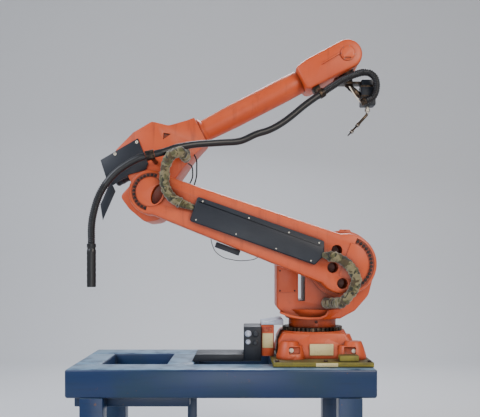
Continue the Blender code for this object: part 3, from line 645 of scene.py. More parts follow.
def new_tree(name, numbers, materials):
    """A geometry tree with named inputs for its sizes and materials, and what its input node gives."""
    tree = bpy.data.node_groups.new(name, "GeometryNodeTree")
    sockets = tree.interface
    sockets.new_socket(name="Geometry", in_out="OUTPUT", socket_type="NodeSocketGeometry")
    sockets.new_socket(name="Geometry", in_out="INPUT", socket_type="NodeSocketGeometry")
    for label, value in numbers.items():
        kind = "NodeSocketInt" if isinstance(value, int) else "NodeSocketFloat"
        sockets.new_socket(name=label, in_out="INPUT", socket_type=kind).default_value = value
    for label in materials:
        sockets.new_socket(name=label, in_out="INPUT", socket_type="NodeSocketMaterial")
    return tree, add_node(tree, "NodeGroupInput", output=None).outputs


def tube_tree(name):
    """A tree that sweeps a round tube along a curve, with ridges round it and loose folds of cloth."""
    tree, given = new_tree(name, {
        "Diameter": HOSE_DIAMETER, "Ridge Height": 0.0, "Ridge Pitch": 0.0125, "Smooth Until": 0.0,
        "Fold Height": 0.0, "Fold Size": 0.03, "Step": 0.003, "Sides": 20}, ["Material"])
    resampled = add_node(tree, "GeometryNodeResampleCurve",
                         {"Curve": given["Geometry"], "Length": given["Step"]}, mode="LENGTH")
    along = add_node(tree, "GeometryNodeSplineParameter", output="Length")
    stored = add_node(tree, "GeometryNodeStoreNamedAttribute",
                      {"Geometry": resampled, "Name": "along", "Value": along}, domain="POINT")
    half = add_node(tree, MATH, {0: given["Diameter"], 1: 0.5}, operation="MULTIPLY")
    circle = add_node(tree, "GeometryNodeCurvePrimitiveCircle", {"Resolution": given["Sides"], "Radius": half})
    tube = add_node(tree, "GeometryNodeCurveToMesh",
                    {"Curve": stored, "Profile Curve": circle, "Fill Caps": True})
    read = add_node(tree, "GeometryNodeInputNamedAttribute", {"Name": "along"}, "Attribute")
    turns = add_node(tree, MATH, {0: read, 1: given["Ridge Pitch"]}, operation="DIVIDE")
    angle = add_node(tree, MATH, {0: turns, 1: 2 * math.pi}, operation="MULTIPLY")
    wave = add_node(tree, MATH, {0: angle}, operation="SINE")
    ridged = add_node(tree, MATH, {0: read, 1: given["Smooth Until"]}, operation="GREATER_THAN")
    shown = add_node(tree, MATH, {0: wave, 1: ridged}, operation="MULTIPLY")
    half_height = add_node(tree, MATH, {0: given["Ridge Height"], 1: 0.5}, operation="MULTIPLY")
    ridge = add_node(tree, MATH, {0: shown, 1: half_height}, operation="MULTIPLY")
    position = add_node(tree, "GeometryNodeInputPosition")
    fineness = add_node(tree, MATH, {0: 1.0, 1: given["Fold Size"]}, operation="DIVIDE")
    folds = add_node(tree, "ShaderNodeTexNoise", {"Vector": position, "Scale": fineness, "Detail": 1.5,
                                                  "Roughness": 0.5, "Distortion": 0.7}, "Fac")
    centred = add_node(tree, MATH, {0: folds, 1: 0.5}, operation="SUBTRACT")
    doubled = add_node(tree, MATH, {0: centred, 1: 2.0}, operation="MULTIPLY")
    lift = add_node(tree, MATH, {0: doubled, 1: given["Fold Height"], 2: ridge}, operation="MULTIPLY_ADD")
    normal = add_node(tree, "GeometryNodeInputNormal", output="Normal")
    offset = add_node(tree, "ShaderNodeVectorMath", {0: normal, "Scale": lift}, operation="SCALE")
    moved = add_node(tree, "GeometryNodeSetPosition", {"Geometry": tube, "Offset": offset})
    smooth = add_node(tree, "GeometryNodeSetShadeSmooth", {"Geometry": moved})
    coated = add_node(tree, "GeometryNodeSetMaterial", {"Geometry": smooth, "Material": given["Material"]})
    add_node(tree, "NodeGroupOutput", {"Geometry": coated}, None)
    return tree


def heads_tree(name):
    """A tree that sets a round screw head on each point, facing the way that the point says, with a thin dark
    disc on top as the painted shade of its socket.
    """
    tree, given = new_tree(name, {"Head Radius": 0.0085, "Head Height": 0.006, "Washer Radius": 0.0095,
                                  "Head Sides": 14}, ["Material", "Socket Shade Material"])
    thickness = add_node(tree, MATH, {0: given["Head Height"], 1: 0.3}, operation="MULTIPLY")
    washer = add_node(tree, "GeometryNodeMeshCylinder",
                      {"Vertices": 16, "Radius": given["Washer Radius"], "Depth": thickness})
    head = add_node(tree, "GeometryNodeMeshCylinder",
                    {"Vertices": given["Head Sides"], "Radius": given["Head Radius"],
                     "Depth": given["Head Height"]})
    middle = add_node(tree, MATH, {0: given["Head Height"], 1: 0.5}, operation="MULTIPLY")
    head_up = add_node(tree, "ShaderNodeCombineXYZ", {"Z": middle})
    raised = add_node(tree, "GeometryNodeTransform", {"Geometry": head, "Translation": head_up})
    both = add_node(tree, "GeometryNodeJoinGeometry", output=None)
    for part in (washer, raised):
        tree.links.new(part, both.inputs[0])
    coated = add_node(tree, "GeometryNodeSetMaterial",
                      {"Geometry": both.outputs[0], "Material": given["Material"]})
    key_size = add_node(tree, MATH, {0: given["Head Radius"], 1: 0.5}, operation="MULTIPLY")
    # Painted shade: a thin dark hexagonal disc on top of each head stands in for the shade in its socket.
    key = add_node(tree, "GeometryNodeMeshCylinder", {"Vertices": 6, "Radius": key_size, "Depth": 0.0008})
    key_up = add_node(tree, "ShaderNodeCombineXYZ", {"Z": given["Head Height"]})
    shade_disc = add_node(tree, "GeometryNodeTransform", {"Geometry": key, "Translation": key_up})
    dark = add_node(tree, "GeometryNodeSetMaterial",
                    {"Geometry": shade_disc, "Material": given["Socket Shade Material"]})
    screw = add_node(tree, "GeometryNodeJoinGeometry", output=None)
    for part in (coated, dark):
        tree.links.new(part, screw.inputs[0])
    facing = add_node(tree, "GeometryNodeInputNamedAttribute", {"Name": "facing"}, "Attribute",
                      data_type="FLOAT_VECTOR")
    turn = add_node(tree, "FunctionNodeAlignRotationToVector", {"Vector": facing}, axis="Z")
    put = add_node(tree, "GeometryNodeInstanceOnPoints",
                   {"Points": given["Geometry"], "Instance": screw.outputs[0], "Rotation": turn})
    real = add_node(tree, "GeometryNodeRealizeInstances", {0: put})
    add_node(tree, "NodeGroupOutput", {"Geometry": real}, None)
    return tree


def run_tree(source, name, make, values):
    """Runs a node tree on an object with its named inputs set, and gives the result as a plain mesh."""
    tree = bpy.data.node_groups.get(name) or make(name)
    modifier = source.modifiers.new(name, "NODES")
    modifier.node_group = tree
    sockets = {s.name: s.identifier for s in tree.interface.items_tree if s.in_out == "INPUT"}
    for label, value in values.items():
        modifier[sockets[label]] = value
    mesh = finished_mesh(source)
    bpy.data.objects.remove(source, do_unlink=True)
    return mesh


def tube(name, points, diameter, finish, body, step=0.003, sides=20, **values):
    """A tube along a route of world points, as a plain mesh that rides on a body, or on none yet."""
    curve = bpy.data.curves.new(name + "_route", "CURVE")
    curve.dimensions = "3D"
    spline = curve.splines.new("POLY")
    spline.points.add(len(points) - 1)
    for target, point in zip(spline.points, points):
        target.co = (*point, 1.0)
    inputs = {"Diameter": diameter, "Step": step, "Sides": sides, "Material": finish_of(finish)}
    inputs.update({key.replace("_", " ").title(): value for key, value in values.items()})
    mesh = run_tree(linked(curve.name, curve), "tube_along_route", tube_tree, inputs)
    mesh.name = name
    return place_piece(name, mesh, finish, body)


def screws(name, places, facing, body, matrix=WORLD, radius=0.0085, height=0.006, sides=14, finish="screws",
           washer=1.15):
    """Screw heads on places of a link, all facing one way."""
    mesh = bpy.data.meshes.new(name + "_points")
    mesh.from_pydata([matrix @ Vector(p) for p in places], [], [])
    turned_way = matrix.to_3x3() @ Vector(facing)
    attribute = mesh.attributes.new("facing", "FLOAT_VECTOR", "POINT")
    attribute.data.foreach_set("vector", list(turned_way) * len(places))
    result = run_tree(linked(mesh.name, mesh), "screw_heads", heads_tree, {
        "Head Radius": radius, "Head Height": height, "Washer Radius": radius * washer, "Head Sides": sides,
        "Material": finish_of(finish), "Socket Shade Material": finish_of("black_plastic")})
    result.name = name
    piece = linked(name, result)
    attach(piece, body)
    return piece


# Cords

def from_joint(joint, offsets, spacing=0.01):
    """World points of a route that is given as offsets from a joint."""
    return [JOINTS[joint] + point for point in smooth_route(offsets, spacing)]


class ROBOT_OT_hoses(bpy.types.Operator):
    """Makes the dress hose from the wrist to its hanging end."""

    bl_idname = "robot.hoses"
    bl_label = "Dress hose"

    def execute(self, context):
        chosen = settings()
        hanging = from_joint("axis_3", HANGING_ROUTE)
        ridged = {"step": chosen.ridge_pitch / 6, "ridge_height": chosen.ridge_height,
                  "ridge_pitch": chosen.ridge_pitch}
        piece = tube("hanging_hose", hanging, HOSE_DIAMETER, "hose", "upper_arm", smooth_until=0.30, **ridged)
        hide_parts("hose_hanging")
        low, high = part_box("hose_end_sleeve")
        top = Vector(((low.x + high.x) / 2, (low.y + high.y) / 2, high.z))
        long = high.z - low.z
        profile = [(0.0, 0.024), (0.004, 0.0275), (0.022, 0.0275), (0.026, 0.025), (0.034, 0.025),
                   (0.038, 0.0268)]
        profile += [(0.038 + (long - 0.056) * i / 12, 0.0268 + 0.0011 * (i % 2)) for i in range(1, 13)]
        profile += [(long - 0.012, 0.0275), (long, 0.0262)]
        end = turned("hose_end_cuff", profile, top, (0, 0, -1), "hose", "upper_arm")
        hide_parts("hose_end_sleeve")
        run = from_joint("axis_3", RUN_ROUTE)
        piece = tube("forearm_hose", run, HOSE_DIAMETER, "hose", None, step=0.008, sides=24)
        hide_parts("hose_forearm_run")
        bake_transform(piece, "upper_arm", "forearm", start=run[20], end=run[-12])
        loop = from_joint("axis_5", LOOP_ROUTE)
        split = len(loop) // 2
        first = loop[:split + 1]
        last = loop[split:]
        piece = tube("wrist_hose", first, HOSE_DIAMETER, "hose", None, **ridged)
        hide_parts("hose_wrist_loop")
        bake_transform(piece, "forearm", "wrist", start=first[4], end=first[-2])
        piece = tube("tool_hose", last, HOSE_DIAMETER, "hose", None, **ridged)
        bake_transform(piece, "wrist", "tool", start=last[1], end=last[-3])
        return {"FINISHED"}


THIN_HOSES = {
    "thin_hose_1": [(0.2539, -0.196, 0.262), (0.2700, -0.215, 0.222), (0.2727, -0.245, 0.169),
                    (0.2727, -0.275, 0.111), (0.2582, -0.300, 0.048)],
    "thin_hose_2": [(0.2150, -0.196, 0.205), (0.2400, -0.215, 0.182), (0.2466, -0.245, 0.137),
                    (0.2456, -0.275, 0.100), (0.2292, -0.300, 0.058)],
}


class ROBOT_OT_thin_hoses(bpy.types.Operator):
    """Makes the two thin hoses that go from the elbow housing down to the arm."""

    bl_idname = "robot.thin_hoses"
    bl_label = "Thin hoses"

    def execute(self, context):
        for name, offsets in THIN_HOSES.items():
            points = from_joint("axis_3", offsets, 0.006)
            piece = tube(name, points, THIN_HOSE_DIAMETER, "hose", None, step=0.006, sides=12)
            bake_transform(piece, "upper_arm", "lower_arm", start=points[3], end=points[-3])
        return {"FINISHED"}


class ROBOT_OT_sleeves(bpy.types.Operator):
    """Makes the two camouflage sleeves with their tails, and the thin cable under the arm."""

    bl_idname = "robot.sleeves"
    bl_label = "Fabric sleeves"

    def execute(self, context):
        cloth = {"step": 0.004, "sides": 28, "fold_height": settings().fold_height, "fold_size": 0.042}
        elbow = from_joint("axis_3", ELBOW_SLEEVE_ROUTE)
        piece = tube("elbow_cloth_sleeve", elbow, ELBOW_SLEEVE_DIAMETER, "fabric", None,
                     ridge_height=0.0035, ridge_pitch=0.031, **cloth)
        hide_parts("elbow_sleeve")
        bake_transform(piece, "upper_arm", "lower_arm", start=elbow[6], end=elbow[-4])
        shoulder = from_joint("axis_2", SHOULDER_SLEEVE_ROUTE)
        piece = tube("shoulder_cloth_sleeve", shoulder, SHOULDER_SLEEVE_DIAMETER, "fabric", None,
                     ridge_height=0.004, ridge_pitch=0.029, **cloth)
        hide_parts("shoulder_sleeve")
        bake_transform(piece, "lower_arm", "turret", start=shoulder[4], end=shoulder[-4])
        ends = {"elbow_sleeve_tail": (elbow[-2] + ELBOW_TAIL_INSET, ELBOW_TAIL_END),
                "shoulder_sleeve_tail": (shoulder[1], SHOULDER_TAIL_END)}
        for name, (start, end) in ends.items():
            reach = (end - start).length
            profile = [(reach * i / 14, 0.0285 - 0.013 * (i / 14) ** 1.3 + 0.0016 * math.sin(i * 2.3))
                       for i in range(15)]
            turned(name, profile, start, end - start, "fabric", "lower_arm", WORLD, 28)
        thin = from_joint("axis_2", THIN_LOOP_ROUTE, 0.006)
        piece = tube("thin_loop_cable", thin, THIN_CABLE_DIAMETER, "hose", "lower_arm", step=0.006, sides=10)
        return {"FINISHED"}


# Castings and sections

REFINED = {
    "orange_paint": ["connector_box", "forearm_tube"],
    "blue_paint": ["stand_front_beam", "stand_rear_beam", "stand_left_beam", "stand_middle_beam",
                   "stand_right_beam", "stand_robot_beam", "stand_leg_front_left", "stand_leg_front_right",
                   "stand_leg_rear_left", "stand_leg_rear_right", "stand_middle_post", "stand_lower_rail"],
    "olive_paint": ["riser_plate"],
    "black_plastic": ["cable_entry_box", "arm_cable_clip", "side_plate", "side_plate_flap",
                      "axis_1_motor", "axis_2_motor", "axis_3_motor", "wrist_motor_1", "wrist_motor_2"],
    "dark_steel": ["elbow_hose_bracket", "fork_hose_bracket", "fork_hose_clamp", "wrist_tilt_body"],
}
THIN_EDGES = {"side_plate": 0.0012, "side_plate_flap": 0.0012, "fork_hose_clamp": 0.0015,
              "elbow_hose_bracket": 0.0015}


def cleaned(bm):
    """Merges a mesh's loose triangles and dissolves the edges that its flat faces don't need."""
    bmesh.ops.remove_doubles(bm, verts=bm.verts, dist=0.00002)
    bmesh.ops.dissolve_limit(bm, angle_limit=math.radians(1.0), verts=bm.verts, edges=bm.edges)


def joined_and_cut(name, mesh, adds, cuts):
    """A mesh with forms joined to it and forms cut from it."""
    work = linked(name + "_work", mesh)
    helpers = []
    for operation, others in (("UNION", adds), ("DIFFERENCE", cuts)):
        for other in others:
            helpers.append(linked(other.name, other))
            carve = work.modifiers.new(other.name, "BOOLEAN")
            carve.operation = operation
            carve.solver = "EXACT"
            carve.object = helpers[-1]
    mesh = finished_mesh(work)
    for item in (work, *helpers):
        bpy.data.objects.remove(item, do_unlink=True)
    return mesh


def rounded(name, mesh, edge):
    """Cleans a mesh, rounds its edges and gives it a name."""
    bm = bmesh.new()
    bm.from_mesh(mesh)
    cleaned(bm)
    bevelled(bm, edge, 2, 28)
    for layer in list(bm.loops.layers.uv.values()):
        bm.loops.layers.uv.remove(layer)
    bm.to_mesh(mesh)
    bm.free()
    mesh.name = name
    return mesh


def carved(node, finish, adds=(), cuts=(), edge=None):
    """A merged copy of a CAD node with forms joined to it and cut from it, its edges rounded, in its place."""
    name = node + "_refined"
    bm = bmesh.new()
    bm.from_mesh(NODES[node].data)
    cleaned(bm)
    mesh = bpy.data.meshes.new(name)
    bm.to_mesh(mesh)
    bm.free()
    if adds or cuts:
        mesh = joined_and_cut(name, mesh, adds, cuts)
    mesh = rounded(name, mesh, edge or THIN_EDGES.get(node, settings().edge_radius))
    piece = place_piece(name, mesh, finish, body_of(NODES[node])[0], 32)
    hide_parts(node)
    return piece


def cut_piece(name, mesh, cuts, finish, body, edge):
    """A mesh with forms cut from it, its edges rounded, as a piece that rides on a body."""
    return place_piece(name, rounded(name, joined_and_cut(name, mesh, (), cuts), edge), finish, body, 35)


class ROBOT_OT_castings(bpy.types.Operator):
    """Gives the plain castings, sections and covers their rounded edges and finish."""

    bl_idname = "robot.castings"
    bl_label = "Castings and sections"

    def execute(self, context):
        for finish, names in REFINED.items():
            for name in names:
                carved(name, finish)
        return {"FINISHED"}


LOBE_CENTRES = [(0.035 + side_x * 0.205, side_y * 0.235) for side_x in (-1, 1) for side_y in (-1, 1)]
BASE_HEIGHT = 0.165
SLEW_TEETH = 40


def toothed_mesh(name, root, tip, teeth, low, high, matrix):
    """A toothed ring as a closed mesh, with a flat on each tip and in each gap."""
    bm = bmesh.new()
    rings = []
    for z in (low, high):
        ring = []
        for i in range(teeth):
            for share, radius in ((0.0, root), (0.28, root), (0.40, tip), (0.82, tip)):
                angle = 2 * math.pi * (i + share) / teeth
                ring.append(bm.verts.new((radius * math.cos(angle), radius * math.sin(angle), z)))
        rings.append(ring)
    count = len(rings[0])
    for i in range(count):
        j = (i + 1) % count
        bm.faces.new((rings[0][i], rings[0][j], rings[1][j], rings[1][i]))
    bm.faces.new(rings[0][::-1])
    bm.faces.new(rings[1])
    bevelled(bm, 0.0006, 1, 20)
    return mesh_of(bm, name, matrix)


class ROBOT_OT_base(bpy.types.Operator):
    """Makes the cast base with its lobes and bolt pockets, the toothed ring, boxes, duct and shim."""

    bl_idname = "robot.base"
    bl_label = "Base and its boxes"

    def execute(self, context):
        lobes = []
        pockets = []
        for number, (x, y) in enumerate(LOBE_CENTRES):
            lobes.append(turned_mesh(f"lobe_{number}", [(0.0, 0.083), (0.020, 0.083), (0.075, 0.066),
                                                        (0.110, 0.052)], (x, y, 0.0004), (0, 0, 1), ROBOT, 28))
            side = math.copysign(1.0, y)
            near_far = sorted((side * 0.276, side * 0.40))
            inward = x - math.copysign(0.030, x - 0.035)
            pockets.append(block_mesh(f"pocket_{number}", (inward - 0.036, inward + 0.036), near_far,
                                      (0.034, 0.080), ROBOT, 0.006))
        skirt = [(0.279, 0.0004), (0.277, 0.030), (0.190, 0.160), (-0.205, 0.160), (-0.235, 0.110),
                 (-0.238, 0.0004)]
        lobes.append(slab_mesh("skirt", skirt, -0.222, 0.222, ROBOT, 0.012))
        carved("base_casting", "orange_paint", lobes, pockets)
        piece = place_piece("slew_ring_toothed", toothed_mesh("slew_ring_toothed", 0.188, 0.200, SLEW_TEETH,
                                                              BASE_HEIGHT + FIT_GAP, BASE_HEIGHT + 0.0237,
                                                              ROBOT), "dark_steel", "base", 25)
        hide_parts("slew_ring")
        caps = [(-0.160, -0.2735, 0.056), (0.238, -0.2735, 0.052), (-0.160, 0.2735, 0.056),
                (0.238, 0.2735, 0.052)]
        for number, (x, y, z) in enumerate(caps):
            side = math.copysign(1.0, y)
            turned(f"pocket_cap_{number}", [(0.0, 0.015), (0.006, 0.015), (0.009, 0.012), (0.010, 0.004)],
                   (x, y, z), (0, side, 0), "nylon", "base", ROBOT, 24)
        oval = [(x, y, 0.18) for x, y in ellipse(-0.300, -0.035, 0.022, 0.016, 24)]
        carved("connector_lid", "zinc", cuts=[prism_mesh("lid_oval", oval, (0, 0, 0.1), ROBOT)], edge=0.0015)
        slab("cable_duct", [(-0.800, -0.0317), (-0.4605, -0.0317), (-0.4605, 0.015), (-0.775, 0.015)],
             -0.150, 0.110, "black_plastic", "base", ROBOT, 0.003)
        block("shim_block", (0.130, 0.250), (-0.406, -0.326), (0.0004, 0.040), "olive_paint", "base", ROBOT,
              0.008)
        for number, (x, z, radius) in enumerate(((-0.432, 0.150, 0.019), (-0.382, 0.150, 0.019),
                                                 (-0.432, 0.096, 0.014), (-0.385, 0.092, 0.016))):
            turned(f"entry_plug_{number}", [(0.0, radius * 1.15), (0.006, radius * 1.15), (0.007, radius),
                                            (0.020, radius), (0.021, radius * 0.82), (0.034, radius * 0.7)],
                   (x, -0.150, z), (0, -1, 0), "black_plastic" if number % 2 else "zinc", "base", ROBOT, 20)
        return {"FINISHED"}


class ROBOT_OT_turret(bpy.types.Operator):
    """Makes the slewing column with its cable lip and grease hole, the double gearbox ring and its lug."""

    bl_idname = "robot.turret"
    bl_label = "Turret and shoulder"

    def execute(self, context):
        path = [(-0.226, 0.292), (-0.170, 0.272), (-0.100, 0.259), (-0.034, 0.2555), (0.030, 0.258),
                (0.066, 0.274), (0.083, 0.304)]
        lip = slab_mesh("lip", band(path, 0.012), -0.246, -0.150, ROBOT, 0.0)
        hole = turned_mesh("grease_hole", [(0.0, 0.010), (0.08, 0.010)], (0.011, -0.205, 0.226), (0, 1, 0),
                           ROBOT, 20)
        carved("turret_casting", "orange_paint", [lip], [hole])
        profile = [(0.0, 0.204), (0.012, 0.204), (0.014, 0.214), (0.031, 0.214), (0.033, 0.206), (0.036, 0.206),
                   (0.038, 0.214), (0.051, 0.214), (0.053, 0.204), (0.069, 0.204)]
        piece = turned("shoulder_gearbox_turned", profile, (0.170, -0.1703, 0.605), (0, -1, 0),
                       "orange_paint", "turret", ROBOT, 72)
        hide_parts("shoulder_gearbox")
        slab("gearbox_lug", [(0.150, 0.808), (0.158, 0.828), (0.222, 0.826), (0.236, 0.800), (0.210, 0.795),
                             (0.170, 0.798)], -0.215, -0.185, "orange_paint", "turret", ROBOT, 0.004)
        screws("lug_screw", [(0.190, -0.215, 0.815)], (0, -1, 0), "turret", ROBOT, 0.006, 0.004)
        slab("turret_rear_plate", [(-0.236, 0.420), (-0.120, 0.420), (-0.120, 0.700), (-0.236, 0.700)],
             -0.1735, -0.1695, "orange_paint", "turret", ROBOT, 0.0012)
        plate = [(x, -0.1735, z) for x in (-0.226, -0.130) for z in (0.430, 0.560, 0.690)]
        screws("rear_plate_screws", plate, (0, -1, 0), "turret", ROBOT, 0.0048, 0.003)
        return {"FINISHED"}


class ROBOT_OT_lower_arm(bpy.types.Operator):
    """Makes the arm casting with its two bolt recesses, cable hole, hub plates and folded cover."""

    bl_idname = "robot.lower_arm"
    bl_label = "Lower arm"

    def execute(self, context):
        floor = ARM_FACE_Y + RECESS_DEPTH
        ahead = ARM_FACE_Y - 0.05
        hole_x = 0.043 - ARM_LENGTH
        oval = ellipse(hole_x, 0.0, 0.034, 0.064, 28)
        cuts = [slab_mesh("shoulder_recess", sector(0.0, 0.136, 0.172, -42, 88, 30), ahead, floor, ARM, 0.0),
                slab_mesh("elbow_recess", sector(-ARM_LENGTH, 0.092, 0.118, 88, 276, 36), ahead, floor, ARM,
                          0.0),
                slab_mesh("cable_hole", oval, ahead, ARM_FACE_Y + 0.070, ARM, 0.0)]
        for number, (x, z) in enumerate(((-0.085, 0.058), (-0.072, -0.050), (0.018, -0.122))):
            cuts.append(turned_mesh(f"cast_hole_{number}", [(0.0, 0.034), (0.16, 0.031)],
                                    (x, ARM_FACE_Y - 0.01, z), (0, 1, 0), ARM, 32))
        carved("lower_arm_casting", "orange_paint", cuts=cuts)
        plate = arc(0.0, 0.0, 0.131, -45, 85, 22) + [(-0.020, 0.129), (-0.020, -0.082), (0.060, -0.082)]
        piece = slab("shoulder_hub_cover", plate, ARM_FACE_Y - 0.008, ARM_FACE_Y - FIT_GAP, "orange_paint",
                     "lower_arm", ARM, 0.002)
        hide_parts("shoulder_hub_plate")
        disc = slab_mesh("elbow_hub_disc", arc(-ARM_LENGTH, 0.0, 0.088, 0, 354, 59), ARM_FACE_Y - 0.008,
                         ARM_FACE_Y - FIT_GAP, ARM, 0.0)
        hole = slab_mesh("disc_hole", oval, ahead, ARM_FACE_Y + 0.01, ARM, 0.0)
        piece = cut_piece("elbow_hub_cover", disc, [hole], "orange_paint", "lower_arm", 0.0015)
        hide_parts("elbow_hub_plate")
        fold = [(-1.05, 0.046), (-0.10, 0.046), (-0.10, 0.13), (-1.05, 0.13)]
        folded = slab_mesh("cover_fold", fold, COVER_FACE_Y - 0.02, COVER_FACE_Y + 0.006, ARM, 0.0)
        carved("cable_cover", "black_plastic", cuts=[folded], edge=0.002)
        ridge = [(-0.985, 0.040), (-0.190, 0.042), (-0.190, 0.050), (-0.985, 0.048)]
        slab("cover_ridge", ridge, COVER_FACE_Y, COVER_FACE_Y + 0.010, "black_plastic", "lower_arm",
             ARM, 0.002)
        return {"FINISHED"}


class ROBOT_OT_elbow(bpy.types.Operator):
    """Makes the tapered elbow housing with its cable gland and notch, and the gearbox ring."""

    bl_idname = "robot.elbow"
    bl_label = "Elbow housing"

    def execute(self, context):
        half = -HOUSING_FACE_Y
        cuts = []
        for side in (-1, 1):
            wedge = [(x, side * y, -0.2) for x, y in ((0.210, half + 0.002), (0.480, half + 0.002),
                                                     (0.480, 0.118), (0.408, 0.118))]
            cuts.append(prism_mesh(f"taper_{side + 2}", wedge, (0, 0, 0.8), ELBOW))
        notch = [(0.212, 0.300), (0.272, 0.312), (0.234, 0.338)]
        cuts.append(slab_mesh("notch", notch, HOUSING_FACE_Y - 0.05, HOUSING_FACE_Y + 0.030, ELBOW, 0.0))
        gland = turned_mesh("gland", [(0.0, 0.036), (0.080, 0.036)], (0.300, HOUSING_FACE_Y - FIT_GAP, 0.155),
                            (0, 1, 0), ELBOW, 32)
        carved("elbow_housing", "orange_paint", [gland], cuts, 0.004)
        profile = [(0.0, 0.118), (0.022, 0.118), (0.024, 0.112), (0.027, 0.112), (0.029, 0.118), (0.045, 0.118),
                   (0.047, 0.110), (0.059, 0.110)]
        piece = turned("elbow_gearbox_turned", profile, (0.0, HOUSING_FACE_Y - FIT_GAP, 0.0), (0, -1, 0),
                       "orange_paint", "upper_arm", ELBOW, 56)
        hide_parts("elbow_gearbox")
        return {"FINISHED"}


class ROBOT_OT_wrist(bpy.types.Operator):
    """Makes the wrist fork with its rib and the stepped cap with its slot."""

    bl_idname = "robot.wrist"
    bl_label = "Wrist fork"

    def execute(self, context):
        end = FOREARM_LENGTH
        rib = slab_mesh("rib", [(end - 0.185, 0.011), (end - 0.048, 0.020), (end - 0.048, 0.029),
                                (end - 0.185, 0.019)], FORK_FACE_Y - 0.009, FORK_FACE_Y + 0.010, FOREARM, 0.0)
        carved("wrist_fork", "orange_paint", [rib])
        cap = turned_mesh("cap", [(0.0, 0.048), (0.009, 0.048), (0.011, 0.042), (0.0157, 0.040)],
                          (end, FORK_FACE_Y - FIT_GAP, 0.0), (0, -1, 0), FOREARM, 40)
        slot = block_mesh("cap_slot", (-0.020, 0.020), (CAP_FACE_Y - 0.01, CAP_FACE_Y + 0.008),
                          (-0.037, -0.028), WRIST, 0.001)
        piece = cut_piece("wrist_cap_stepped", cap, [slot], "orange_paint", "forearm", 0.0008)
        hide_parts("wrist_cap")
        return {"FINISHED"}


NOZZLE_ROOT = Vector((0.150, 0, -0.374))
NOZZLE_WAY = Vector((-0.669, 0, -0.743))


class ROBOT_OT_tool(bpy.types.Operator):
    """Makes the tool: stepped flange, carrier plate, slanted cylinder, body, hose socket and bent nozzle."""

    bl_idname = "robot.tool"
    bl_label = "Tool"

    def execute(self, context):
        top = -0.1186
        profile = [(0.0, 0.044), (0.012, 0.044), (0.014, 0.050), (0.036, 0.050), (0.038, 0.044), (0.046, 0.044)]
        piece = turned("tool_flange_ring", profile, (0, 0, top), (0, 0, -1), "dark_steel", "tool", WRIST, 40)
        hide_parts("tool_flange")
        ring = [(x, y, top - 0.0135) for x, y in ellipse(0.0, 0.0, 0.047, 0.047, 6)]
        screws("flange_screws", ring, (0, 0, 1), "tool", WRIST, 0.0026, 0.003, finish="steel")
        plate = block("tool_carrier", (-0.045, 0.118), (-0.045, 0.045), (top - 0.0603, top - 0.0463),
                      "dark_steel", "tool", WRIST, 0.002)
        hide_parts("tool_plate")
        under = top - 0.0603
        along = Vector((0.140, 0.0, -0.118)).normalized()
        profile = [(0.0, 0.019), (0.030, 0.019), (0.032, 0.0215), (0.046, 0.0215), (0.048, 0.019),
                   (0.128, 0.019)]
        cylinder = turned_mesh("cylinder", profile, (0.008, 0.0, under + 0.006), along, WRIST, 28)
        above = block_mesh("above", (-0.1, 0.3), (-0.1, 0.1), (under + FIT_GAP, under + 0.1), WRIST, 0.0)
        beyond = block_mesh("beyond", (0.1015, 0.3), (-0.1, 0.1), (-0.5, under + 0.1), WRIST, 0.0)
        piece = cut_piece("tool_slanted_cylinder", cylinder, [above, beyond], "dark_steel", "tool", 0.0008)
        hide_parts("tool_cylinder")
        body = block("tool_housing", (0.102, 0.199), (-0.050, 0.050), (-0.324, -0.150), "black_plastic",
                     "tool", WRIST, 0.010)
        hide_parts("tool_body")
        for number, z in enumerate((-0.196, -0.262)):
            block(f"tool_band_{number}", (0.1005, 0.2005), (-0.0515, 0.0515), (z - 0.006, z + 0.006),
                  "dark_steel", "tool", WRIST, 0.0015)
        loop = smooth_route(LOOP_ROUTE, 0.01)
        along = (loop[-1] - loop[-2]).normalized()
        profile = [(0.0, 0.024), (0.003, 0.0275), (0.014, 0.0275), (0.016, 0.025), (0.034, 0.025),
                   (0.038, 0.021)]
        turned("tool_hose_socket", profile, loop[-1] - along * 0.012, along, "dark_steel", "tool", WRIST, 28)
        profile = [(0.0, 0.013), (0.014, 0.013), (0.016, 0.018), (0.034, 0.018), (0.036, 0.011), (0.045, 0.011)]
        piece = turned("tool_nozzle_fitting", profile, (0.150, 0, -0.3243), (0, 0, -1), "steel", "tool", WRIST,
                       6)
        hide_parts("tool_fitting")
        profile = [(0.0, 0.008), (0.006, 0.010), (0.088, 0.010), (0.090, 0.014), (0.110, 0.014), (0.112, 0.007),
                   (0.146, 0.007), (0.148, 0.012), (0.168, 0.012), (0.170, 0.006), (0.198, 0.003)]
        turned("tool_nozzle", profile, NOZZLE_ROOT, NOZZLE_WAY, "dark_steel", "tool", WRIST, 24)
        profile = [(0.0, 0.0135), (0.002, 0.0150), (0.007, 0.0150), (0.009, 0.0135)]
        for number, distance in enumerate((0.099, 0.157)):
            turned(f"nozzle_ring_{number}", profile, NOZZLE_ROOT + NOZZLE_WAY * distance, NOZZLE_WAY, "steel",
                   "tool", WRIST, 24)
        points = [(0.022, -0.046, -0.199), (0.040, -0.050, -0.232), (0.069, -0.054, -0.277),
                  (0.096, -0.056, -0.308), (0.109, -0.053, -0.324)]
        tube("tool_air_tube", [WRIST @ p for p in smooth_route(points, 0.006)], 0.009, "nylon", "tool",
             step=0.004, sides=12)
        return {"FINISHED"}


